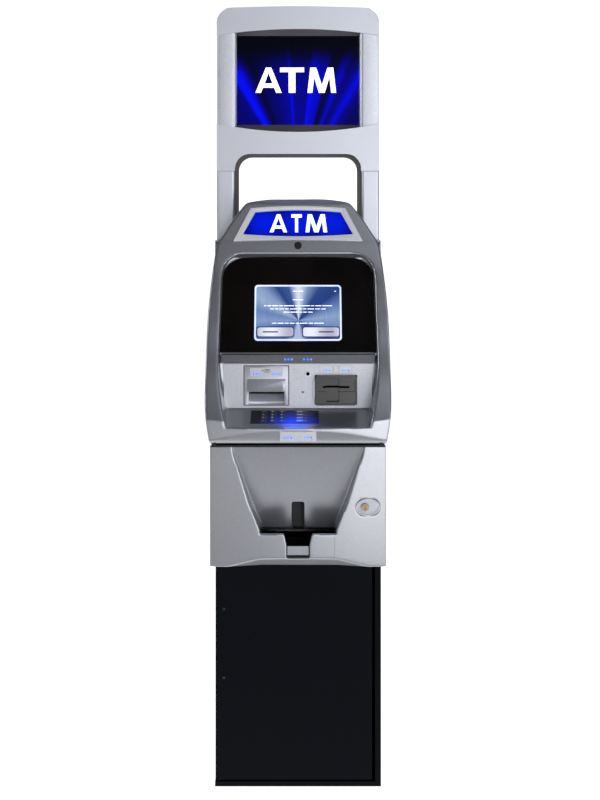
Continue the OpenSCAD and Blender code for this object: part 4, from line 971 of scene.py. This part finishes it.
# a silver sill closes the foot of the notch
sill_half, sill_low, sill_high = 0.0232, cover_low.z + 0.0235, cover_low.z + 0.0430
sill = slab("pocket_sill", rounded([(-sill_half, sill_low, 0.001), (sill_half, sill_low, 0.001),
                                    (sill_half, sill_high, 0.001), (-sill_half, sill_high, 0.001)]),
            notch_depth - 0.0005, notch_depth + 0.0015, from_front)
wear(bevel(sill, 0.0004), silver, "pocket_panel", "silver_paint")
eased("cash_tray", "note_insert", 0.0008, dark_plastic, "pocket_panel", "dark_plastic")

# oval lock plate with a groove round it, and the cylinder lock in it
plate_low, plate_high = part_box("lock_escutcheon")
plate_x, plate_z = (plate_low.x + plate_high.x) / 2, (plate_low.z + plate_high.z) / 2
plate_w, plate_h = plate_high.x - plate_low.x, plate_high.z - plate_low.z
lock_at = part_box("panel_lock")
lock_x, lock_z = (lock_at[0].x + lock_at[1].x) / 2, lock_at[0].z + 0.0085
plate = slab("lock_plate", oval(plate_w / 2, plate_h / 2, 64, (plate_x, plate_z)),
             -plate_high.y, -plate_low.y, from_front)
carve(plate, slab("tool", oval(plate_w / 2 - 0.0024, plate_h / 2 - 0.0024, 64, (plate_x, plate_z)),
                  -plate_low.y - 0.0010, 0.3, from_front),
      slab("tool", oval(0.0088, 0.0088, 48, (lock_x, lock_z)), 0.2, 0.3, from_front))
wear(bevel(plate, 0.0005), plate_satin, "pocket_panel", "satin_silver", "lock_escutcheon")
rim_turn = math.atan2(cover_front(plate_high.x) - cover_front(plate_low.x), plate_w)
rim_place = (Matrix.Translation((plate_x, cover_front(plate_x), plate_z)) @ Matrix.Rotation(rim_turn, 4, "Z")
             @ Matrix.Rotation(math.pi / 2, 4, "X"))
lip_ring = ring("lock_plate_ring", oval(plate_w / 2 + 0.0012, plate_h / 2 + 0.0016, 64),
                oval(plate_w / 2 - 0.0016, plate_h / 2 - 0.0012, 64), -0.005, 0.0008, rim_place, 0.0006)
wear(lip_ring, plate_satin, "pocket_panel", "satin_silver")
bronze_lock = worn_metal("bronze_lock", (0.40, 0.29, 0.19), 0.24, 60)
eased("panel_lock", "pocket_lock", 0.0007, bronze_lock, "panel_lock", "lock_metal", segments=3)
black_steel = worn_metal("black_steel", (0.030, 0.031, 0.034), 0.42, 50, 0.6)
eased("panel_hinge", "pocket_hinge", 0.0006, black_steel, "door", "black_steel")

# ---------------------------------------------------------------------------
# Chest. Welded steel safe in fine charcoal powder coat, with a plate door on
# pivots, its lock dial and handle, and the bolt work behind it.
# ---------------------------------------------------------------------------
def powder(name, tone):
    """Powder coat: a fine orange peel over a nearly even dark colour."""
    rough = 0.52
    material, tree, shader = node_tree(name)
    _, shade = mottle(tree, 1300, [c * 0.6 for c in tone], [c * 1.5 for c in tone])
    tree.links.new(shade.outputs["Color"], shader.inputs["Base Color"])
    cloudy_gloss(tree, shader, 6, rough - 0.05, rough + 0.06)
    shader.inputs["Specular IOR Level"].default_value = 0.05
    grain_bump(tree, shader, 1100, 0.25, 0.0005)
    return material


chest_powder = powder("chest_powder", (0.0034, 0.0046, 0.0070))
eased("chest_shell", "safe_chest", 0.0012, chest_powder, "chest", "chest_powder", degrees=50)
eased("vault_door", "safe_door", 0.0012, chest_powder, "door", "door_powder", degrees=50)
eased("door_screws", "door_screw_heads", 0.0004, black_steel, "door", "black_steel")
eased("lock_dial", "combination_dial", 0.0006, dark_plastic, "door", "dark_plastic", degrees=40)
zinc = worn_metal("zinc_plate", (0.50, 0.50, 0.47), 0.34, 25)
steel = worn_metal("bright_steel", (0.56, 0.56, 0.57), 0.25, 35)
eased("bolt_bar", "bolt_work", 0.0008, zinc, "bolts", "zinc")
eased("vault_handle", "door_handle", 0.0010, steel, "handle", "steel")

# ---------------------------------------------------------------------------
# Dispenser. Folded zinc-plated frame with the pick shaft and its rubber
# rollers, the gear motor, and the removable moulded cassette.
# ---------------------------------------------------------------------------
rubber = moulded_plastic("rubber_grey", (0.11, 0.11, 0.115), 0.75, 500, 0.2)
motor_black = worn_metal("motor_black", (0.05, 0.05, 0.055), 0.35, 50, 0.7)
eased("dispenser_frame", "note_frame", 0.0006, zinc, "chest", "zinc")
eased("dispenser_motor", "note_motor", 0.0008, motor_black, "chest", "black_steel")
eased("pick_shaft", "pick_rollers", 0.0006, rubber, "picker", "rubber_grey")
eased("cash_cassette", "note_cassette", 0.0020, dark_plastic, "cassette", "dark_plastic")

# ---------------------------------------------------------------------------
# Head. Folded steel base and housing behind the moulded front, closed by a
# screwed rear cover; inside are the board, supply, mains inlet and fan.
# ---------------------------------------------------------------------------
housing_paint = silver_paint("housing_paint", (0.34, 0.35, 0.37), 0.6, 0.42)
eased("head_base", "base_plate", 0.0006, black_steel, "chest", "black_steel")
eased("head_housing", "rear_housing", 0.0012, housing_paint, "chest", "housing_paint")
eased("rear_cover", "cover_plate", 0.0006, black_steel, "chest", "black_steel")
eased("cover_screws", "cover_screw_heads", 0.0003, steel, "chest", "steel", segments=1, degrees=50)

board_green, tree, shader = node_tree("board_green")
coordinate = tree.nodes.new("ShaderNodeTexCoord")
traces = tree.nodes.new("ShaderNodeTexBrick")
traces.inputs["Scale"].default_value = 180
traces.inputs["Mortar Size"].default_value = 0.035
traces.inputs["Color1"].default_value = (0.012, 0.10, 0.035, 1)
traces.inputs["Color2"].default_value = (0.018, 0.13, 0.045, 1)
traces.inputs["Mortar"].default_value = (0.05, 0.22, 0.08, 1)
turned = tree.nodes.new("ShaderNodeMapping")
turned.inputs["Rotation"].default_value = (math.pi / 2, 0, math.pi / 2)
tree.links.new(coordinate.outputs["Object"], turned.inputs["Vector"])
tree.links.new(turned.outputs["Vector"], traces.inputs["Vector"])
tree.links.new(traces.outputs["Color"], shader.inputs["Base Color"])
shader.inputs["Roughness"].default_value = 0.35
shader.inputs["Coat Weight"].default_value = 0.3
eased("main_board", "control_board", 0.0003, board_green, "chest", "board_green", segments=1)
eased("power_supply", "supply_case", 0.0008, zinc, "chest", "zinc")
eased("power_inlet", "mains_inlet", 0.0006, dark_plastic, "chest", "dark_plastic")
eased("fan_frame", "fan_case", 0.0006, dark_plastic, "chest", "dark_plastic", degrees=40)
eased("fan_rotor", "fan_blades", 0.0003, dark_plastic, "fan", "dark_plastic", segments=1, degrees=40)

# ---------------------------------------------------------------------------
# Raised sign. Two hollow moulded legs and a moulded shell with a wide arch
# under it; the picture sits back behind a window bowed at its top and foot.
# ---------------------------------------------------------------------------
# the sign's silver is a lighter copy of the silver paint: painted light for the brighter raised sign
sign_silver_lightened = silver_paint("sign_silver_lightened", (0.58, 0.59, 0.62), 0.62, 0.34)
eased("leg_left", "sign_leg_left", 0.0015, sign_silver_lightened, "chest", "silver_paint")
eased("leg_right", "sign_leg_right", 0.0015, sign_silver_lightened, "chest", "silver_paint")
sign_low, sign_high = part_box("sign_shell")
lens_low, lens_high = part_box("sign_lens")
window_half, window_low, window_high = 0.1465, lens_low.z + 0.004, lens_high.z - 0.004
sign_front = -sign_low.y


def sign_outline():
    """Front outline of the shell: round shoulders, crowned top, arch between the legs."""
    half, foot, top = sign_high.x, sign_low.z, sign_high.z - 0.005
    shoulder = rounded([(half, foot, 0), (half, top, 0.034), (-half, top, 0.034), (-half, foot, 0)], 10)
    crowned = [Vector((p.x, p.y + (0.005 * (1 - (p.x / half) ** 2) if p.y > top - 0.002 else 0))) for p in shoulder]
    lines = []
    for a, b in zip(crowned, crowned[1:] + crowned[:1]):
        lines.append(a)
        if abs(a.y - b.y) < 0.002 and a.y > top - 0.003:
            for i in range(1, 20):
                x = a.x + (b.x - a.x) * i / 20
                lines.append(Vector((x, top + 0.005 * (1 - (x / half) ** 2))))
    return lines


sign = slab("sign_case", sign_outline(), -sign_high.y, sign_front, from_front)
arch_half, arch_top = 0.152, sign_low.z + 0.046
carve(sign, slab("tool", rounded([(-arch_half, sign_low.z - 0.01, 0), (arch_half, sign_low.z - 0.01, 0),
                                  (arch_half, arch_top - 0.005, 0.036), (-arch_half, arch_top - 0.005, 0.036)], 10),
                 -0.3, 0.1, from_front))


# a dark brown sheet down the inside of the arch and of both legs: painted shade on the inner walls
arch_shade_brown = moulded_plastic("arch_shade_brown", (0.095, 0.080, 0.066), 0.9, 300, 0.2)
leg_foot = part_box("leg_left")[0].z + 0.002
arch_shade_outline = rounded([(-arch_half, leg_foot, 0), (arch_half, leg_foot, 0),
                         (arch_half, arch_top - 0.005, 0.036), (-arch_half, arch_top - 0.005, 0.036)], 10)
arch_shade_sheet = slab("arch_painted_shade", arch_shade_outline, -sign_high.y + 0.002, sign_front - 0.0035, from_front)
carve(arch_shade_sheet, slab("tool", rounded([(-arch_half + 0.0012, leg_foot - 0.01, 0), (arch_half - 0.0012, leg_foot - 0.01, 0),
                                   (arch_half - 0.0012, arch_top - 0.0062, 0.0348),
                                   (-arch_half + 0.0012, arch_top - 0.0062, 0.0348)], 10), -0.3, 0.1, from_front))
wear(smooth(arch_shade_sheet), arch_shade_brown, "chest", "silver_paint")

# hollow it, open the window between two bowed bands, and set the front back beside it
room = slab("tool", rounded([(-sign_high.x + wall, arch_top + wall, 0), (sign_high.x - wall, arch_top + wall, 0),
                             (sign_high.x - wall, sign_high.z - 0.008 - wall, 0.030),
                             (-sign_high.x + wall, sign_high.z - 0.008 - wall, 0.030)], 8),
            -sign_high.y + wall, sign_front - wall, from_front)
carve(sign, room)
foot_edge, foot_bow, top_edge, top_bow = window_low - 0.0070, 0.0110, window_high + 0.0065, 0.0085
steps = [i / 16 for i in range(-16, 17)]
for half, depth in ((window_half + 0.0013, 0.03), (0.25, 0.0055)):
    spread = half / window_half
    carve(sign, slab("tool", [(half * t, foot_edge - foot_bow * (1 - (t * spread) ** 2)) for t in steps]
                     + [(-half * t, top_edge + top_bow * (1 - (t * spread) ** 2)) for t in steps],
                     sign_front - depth, 0.1, from_front))
wear(bevel(sign, 0.0026, 4, 40), sign_silver_lightened, "chest", "silver_paint", "sign_shell")
# rounded columns beside the window, set back behind the bands over and under it
for side, name in ((-1, "left"), (1, "right")):
    inside, outside, column_front, column_back = (window_half + 0.0010, sign_high.x - 0.0004,
                                                  sign_low.y + 0.0050, sign_low.y + 0.028)
    plan = rounded([(inside, column_back, 0), (inside, column_front, 0.0105),
                    (outside, column_front, 0.0060), (outside, column_back, 0)], 10)
    plan = [(side * x, y) for x, y in plan]
    column = slab("sign_column_" + name, plan if side > 0 else plan[::-1], foot_edge - foot_bow - 0.003,
                  top_edge + top_bow + 0.003, Matrix.Identity(4))
    wear(smooth(column, 50), sign_silver_lightened, "chest", "silver_paint")

# sloping faces from the bowed mouth back to the straight picture, dark grey as painted shade
reveal_shade_grey = moulded_plastic("reveal_shade_grey", (0.075, 0.066, 0.080), 0.5)
picture_y = lens_high.y - 0.0026
for name, straight, edge, bow, out in (("top", window_high, top_edge, top_bow, 1),
                                       ("foot", window_low, foot_edge, foot_bow, -1)):
    vertices = []
    for t in steps:
        x, curved = window_half * t, edge + out * bow * (1 - t * t)
        for y, z in ((sign_low.y + 0.0026, curved + out * 0.0002), (picture_y, straight),
                     (picture_y, straight + out * 0.0040), (sign_low.y + wall + 0.0010, curved + out * 0.0030)):
            vertices.append((x, y, z))
    faces = [(i * 4 + j, i * 4 + (j + 1) % 4, i * 4 + 4 + (j + 1) % 4, i * 4 + 4 + j)
             for i in range(len(steps) - 1) for j in range(4)]
    faces += [(0, 1, 2, 3), tuple(len(vertices) - 4 + j for j in (3, 2, 1, 0))]
    mesh = bpy.data.meshes.new("window_reveal_" + name)
    mesh.from_pydata(vertices, [], faces)
    reveal = bpy.data.objects.new("window_reveal_" + name, mesh)
    bpy.context.scene.collection.objects.link(reveal)
    alone(reveal)
    bpy.ops.object.mode_set(mode="EDIT")
    bpy.ops.mesh.select_all(action="SELECT")
    bpy.ops.mesh.normals_make_consistent(inside=False)
    bpy.ops.object.mode_set(mode="OBJECT")
    wear(smooth(reveal, 50), reveal_shade_grey, "chest", "silver_paint")

# the picture: rays of blue light fanning up out of the dark, lit from behind
picture_blue, tree, shader = node_tree("picture_blue")
shader.inputs["Base Color"].default_value = (0.0005, 0.0005, 0.002, 1)
shader.inputs["Roughness"].default_value = 0.4
shader.inputs["Specular IOR Level"].default_value = 0.03
ray_foot = (0, picture_y, window_low - 0.140)
coordinate = tree.nodes.new("ShaderNodeTexCoord")
turned = tree.nodes.new("ShaderNodeMapping")
turned.vector_type = "TEXTURE"
turned.inputs["Location"].default_value = ray_foot
turned.inputs["Rotation"].default_value = (math.pi / 2, 0, 0)
tree.links.new(coordinate.outputs["Object"], turned.inputs["Vector"])
sweep = tree.nodes.new("ShaderNodeTexGradient")
sweep.gradient_type = "RADIAL"
tree.links.new(turned.outputs["Vector"], sweep.inputs["Vector"])
rays = tree.nodes.new("ShaderNodeValToRGB")
beams = [(-180, 0.1), (50, 0.14), (57, 0.30), (60, 0.66), (62.5, 0.34), (66, 0.22), (68.5, 0.56), (70, 0.34),
         (72, 0.08), (74.5, 0.12), (76, 0.46), (80, 0.60), (83.3, 0.80), (84.3, 0.32), (90, 0.30), (93.3, 0.34),
         (94.5, 0.85), (95.5, 0.36), (102, 0.26), (108, 0.18), (112, 0.06), (115, 0.24), (116.5, 0.52), (119, 0.85),
         (121, 0.70), (122.5, 0.26), (130, 0.2), (180, 0.1)]
for degrees, light in beams:
    if abs(degrees) == 180:
        stop = rays.color_ramp.elements[0 if degrees < 0 else -1]
    else:
        stop = rays.color_ramp.elements.new((degrees + 180) / 360)
    stop.position = (degrees + 180) / 360
    stop.color = (light, light, light, 1)
tree.links.new(sweep.outputs["Fac"], rays.inputs["Fac"])
height = tree.nodes.new("ShaderNodeSeparateXYZ")
tree.links.new(coordinate.outputs["Object"], height.inputs["Vector"])
fade = tree.nodes.new("ShaderNodeMapRange")
fade.interpolation_type = "SMOOTHSTEP"
fade.inputs["From Min"].default_value = window_high - 0.018
fade.inputs["From Max"].default_value = window_low + 0.105
tree.links.new(height.outputs["Z"], fade.inputs["Value"])
wisps, _ = mottle(tree, 26, (0, 0, 0), (1, 1, 1), 4.0)
streaks = tree.nodes.new("ShaderNodeMath")
streaks.operation = "MULTIPLY_ADD"
streaks.inputs[1].default_value = 0.5
streaks.inputs[2].default_value = 0.85
tree.links.new(wisps.outputs["Fac"], streaks.inputs[0])
lit = tree.nodes.new("ShaderNodeMath")
lit.operation = "MULTIPLY"
tree.links.new(rays.outputs["Color"], lit.inputs[0])
tree.links.new(fade.outputs["Result"], lit.inputs[1])
glowing = tree.nodes.new("ShaderNodeMath")
glowing.operation = "MULTIPLY"
tree.links.new(lit.outputs["Value"], glowing.inputs[0])
tree.links.new(streaks.outputs["Value"], glowing.inputs[1])
blues = tree.nodes.new("ShaderNodeValToRGB")
blues.color_ramp.elements[0].color = (0.0002, 0.0002, 0.0025, 1)
blues.color_ramp.elements[1].color = (0.0, 0.004, 1.0, 1)
for at, colour in ((0.08, (0.0002, 0.0, 0.028, 1)), (0.28, (0.0003, 0.0, 0.19, 1)), (0.62, (0.0, 0.0006, 0.62, 1))):
    stop = blues.color_ramp.elements.new(at)
    stop.color = colour
tree.links.new(glowing.outputs["Value"], blues.inputs["Fac"])
tree.links.new(blues.outputs["Color"], shader.inputs["Emission Color"])
shader.inputs["Emission Strength"].default_value = 1.0
picture = slab("sign_picture", block_outline(lens_high.x - lens_low.x, lens_high.z - lens_low.z, 0.002,
                                             (0, (lens_low.z + lens_high.z) / 2)),
               -lens_high.y, -picture_y, from_front)
wear(bevel(picture, 0.0005, 1), picture_blue, "chest", "blue_lens", "sign_lens")
letter_foot, letter_height = window_low + 0.0775, 0.0610
for name, strokes, left, width in (("a", letter_a, -0.1030, 0.0635), ("t", letter_t, -0.0436, 0.0583),
                                   ("m", letter_m, 0.0229, 0.0693)):
    glyph = letter("sign_letter_" + name, strokes, (left, letter_foot), (width, letter_height),
                   -picture_y - 0.0002, -picture_y + 0.0006, from_front)
    wear(smooth(glyph), glow_white, "chest", "blue_lens")

# ---------------------------------------------------------------------------
# Floor, light and camera. A pale floor that glows, with painted light and shade on it, a bright wall
# behind, a dim room in front and soft boxes; the camera stands level, straight in front.
# ---------------------------------------------------------------------------
eye_height, eye_distance = 1.292, 2.5
floor_size, floor_middle = 60, 10
bpy.ops.mesh.primitive_plane_add(size=floor_size, location=(0, floor_middle, 0))
floor = bpy.context.object
floor.name = "floor"
floor_paint, tree, shader = node_tree("floor_paint")
shader.inputs["Roughness"].default_value = 0.75
_, tone = mottle(tree, 2, (0.86, 0.86, 0.87), (0.89, 0.89, 0.90))
tree.links.new(tone.outputs["Color"], shader.inputs["Base Color"])
tree.links.new(tone.outputs["Color"], shader.inputs["Emission Color"])
position = tree.nodes.new("ShaderNodeTexCoord")
on_floor = tree.nodes.new("ShaderNodeSeparateXYZ")
tree.links.new(position.outputs["Object"], on_floor.inputs["Vector"])


def painted_floor_light(axis, start, end, low, high):
    """Painted floor brightness that passes smoothly from low to high between two places on the floor."""
    node = tree.nodes.new("ShaderNodeMapRange")
    node.interpolation_type = "SMOOTHSTEP"
    for key, value in (("From Min", start), ("From Max", end), ("To Min", low), ("To Max", high)):
        node.inputs[key].default_value = value
    tree.links.new(on_floor.outputs[axis], node.inputs["Value"])
    return node.outputs["Result"]


# painted light on the floor: bright under and behind the machine, painted shade close in front of it, then bright
# again, more to its right
painted_floor_brightness = tree.nodes.new("ShaderNodeMath")
painted_floor_brightness.operation = "MULTIPLY_ADD"
tree.links.new(painted_floor_light("Y", -floor_middle - 2.6, -floor_middle - 1.6, 1.0, 0.0), painted_floor_brightness.inputs[0])
tree.links.new(painted_floor_light("X", -0.35, 0.75, 0.52, 2.5), painted_floor_brightness.inputs[1])
tree.links.new(painted_floor_light("Y", -floor_middle - 1.3, -floor_middle - 0.4, 0.05, 1.15), painted_floor_brightness.inputs[2])
tree.links.new(painted_floor_brightness.outputs["Value"], shader.inputs["Emission Strength"])
floor.data.materials.append(floor_paint)


def soft_light(name, at, aim, width, height, power, tint):
    """A soft box that faces its aim."""
    data = bpy.data.lights.new(name, "AREA")
    data.shape = "RECTANGLE"
    data.size, data.size_y, data.energy, data.color = width, height, power, tint
    lamp = bpy.data.objects.new(name, data)
    lamp.location = at
    lamp.rotation_euler = (Vector(aim) - Vector(at)).to_track_quat("-Z", "Y").to_euler()
    bpy.context.scene.collection.objects.link(lamp)


soft_light("left_box", (-2.3, -1.0, 2.0), (0, 0, 1.5), 0.4, 1.2, 14, (0.90, 0.94, 1.0))
soft_light("right_box", (2.1, -1.8, 1.6), (0, -0.1, 1.1), 0.6, 1.8, 12, (0.88, 0.92, 1.0))
soft_light("rear_box", (-0.8, 2.8, 2.8), (0, 0.3, 0.6), 2.0, 1.6, 20, (1.0, 0.99, 0.97))

# the keypad's own lamp, which washes the shelf and the lip with blue
wash = bpy.data.lights.new("keypad_lamp", "AREA")
wash.shape = "RECTANGLE"
wash.size, wash.size_y, wash.energy, wash.color = 0.05, 0.012, 0.05, (0.0, 0.08, 1.0)
wash_lamp = bpy.data.objects.new("keypad_lamp", wash)
wash_lamp.location = (pad_x + 0.022, pad_low.y - 0.004, pad_low.z + 0.028)
bpy.context.scene.collection.objects.link(wash_lamp)

world = bpy.data.worlds.new("studio")
world.use_nodes = True
bpy.context.scene.world = world
tree = world.node_tree
direction = tree.nodes.new("ShaderNodeTexCoord")
toward = tree.nodes.new("ShaderNodeSeparateXYZ")
tree.links.new(direction.outputs["Generated"], toward.inputs["Vector"])


more_green, more_blue, room_strength = 0.012, 0.055, 6.6


def tones_along(axis, stops):
    """World brightness along one axis of direction, from -1 to 1; the brightest is the coolest."""
    place = tree.nodes.new("ShaderNodeMapRange")
    place.inputs["From Min"].default_value = -1.0
    tree.links.new(toward.outputs[axis], place.inputs["Value"])
    ramp = tree.nodes.new("ShaderNodeValToRGB")
    tree.links.new(place.outputs["Result"], ramp.inputs["Fac"])
    for number, (at, grey) in enumerate(stops):
        if 0 < number < len(stops) - 1:
            stop = ramp.color_ramp.elements.new((at + 1) / 2)
        else:
            stop = ramp.color_ramp.elements[0 if number == 0 else -1]
        stop.position = (at + 1) / 2
        stop.color = (grey, grey * (1 + more_green * grey), grey * (1 + more_blue * grey), 1)
    return ramp.outputs["Color"]


def product(kind, first, second):
    """Combines two colours."""
    node = tree.nodes.new("ShaderNodeMix")
    node.data_type = "RGBA"
    node.blend_type = kind
    node.inputs["Factor"].default_value = 1.0
    tree.links.new(first, node.inputs[6])
    tree.links.new(second, node.inputs[7])
    return node.outputs[2]


across = tones_along("X", [(-1, 0.01), (-0.6, 0.02), (-0.34, 0.05), (-0.18, 0.10), (-0.06, 0.16), (0.02, 0.30),
                           (0.13, 1.0), (0.30, 1.0), (0.42, 0.06), (0.7, 0.02), (1, 0.01)])
in_front = tones_along("Y", [(-1, 1.0), (-0.55, 0.9), (-0.15, 0.25), (0.3, 0.10), (1, 0.10)])
height_tones = tones_along("Z", [(-1, 0.15), (-0.46, 0.25), (-0.30, 0.75), (-0.15, 0.8), (0.02, 0.55), (0.15, 0.42),
                                 (0.28, 0.26), (0.38, 0.04), (0.68, 0.01), (0.82, 0.15), (1, 0.17)])
behind = tones_along("Y", [(-1, 0.0), (0.86, 0.0), (0.92, 0.17), (1, 0.17)])
room_light = product("ADD", product("MULTIPLY", product("MULTIPLY", across, in_front), height_tones), behind)
backdrop = tree.nodes["Background"]
tree.links.new(room_light, backdrop.inputs["Color"])
backdrop.inputs["Strength"].default_value = room_strength

lens = bpy.data.cameras.new("camera")
lens.lens = 52.8
lens.shift_x, lens.shift_y = 0.0025, -0.2375
lens.clip_end = 200
camera = bpy.data.objects.new("camera", lens)
camera.location = (0, lip_y - eye_distance, eye_height)
camera.rotation_euler = (math.pi / 2, 0, 0)
bpy.context.scene.collection.objects.link(camera)
bpy.context.scene.camera = camera
bpy.context.scene.view_settings.view_transform = "Standard"
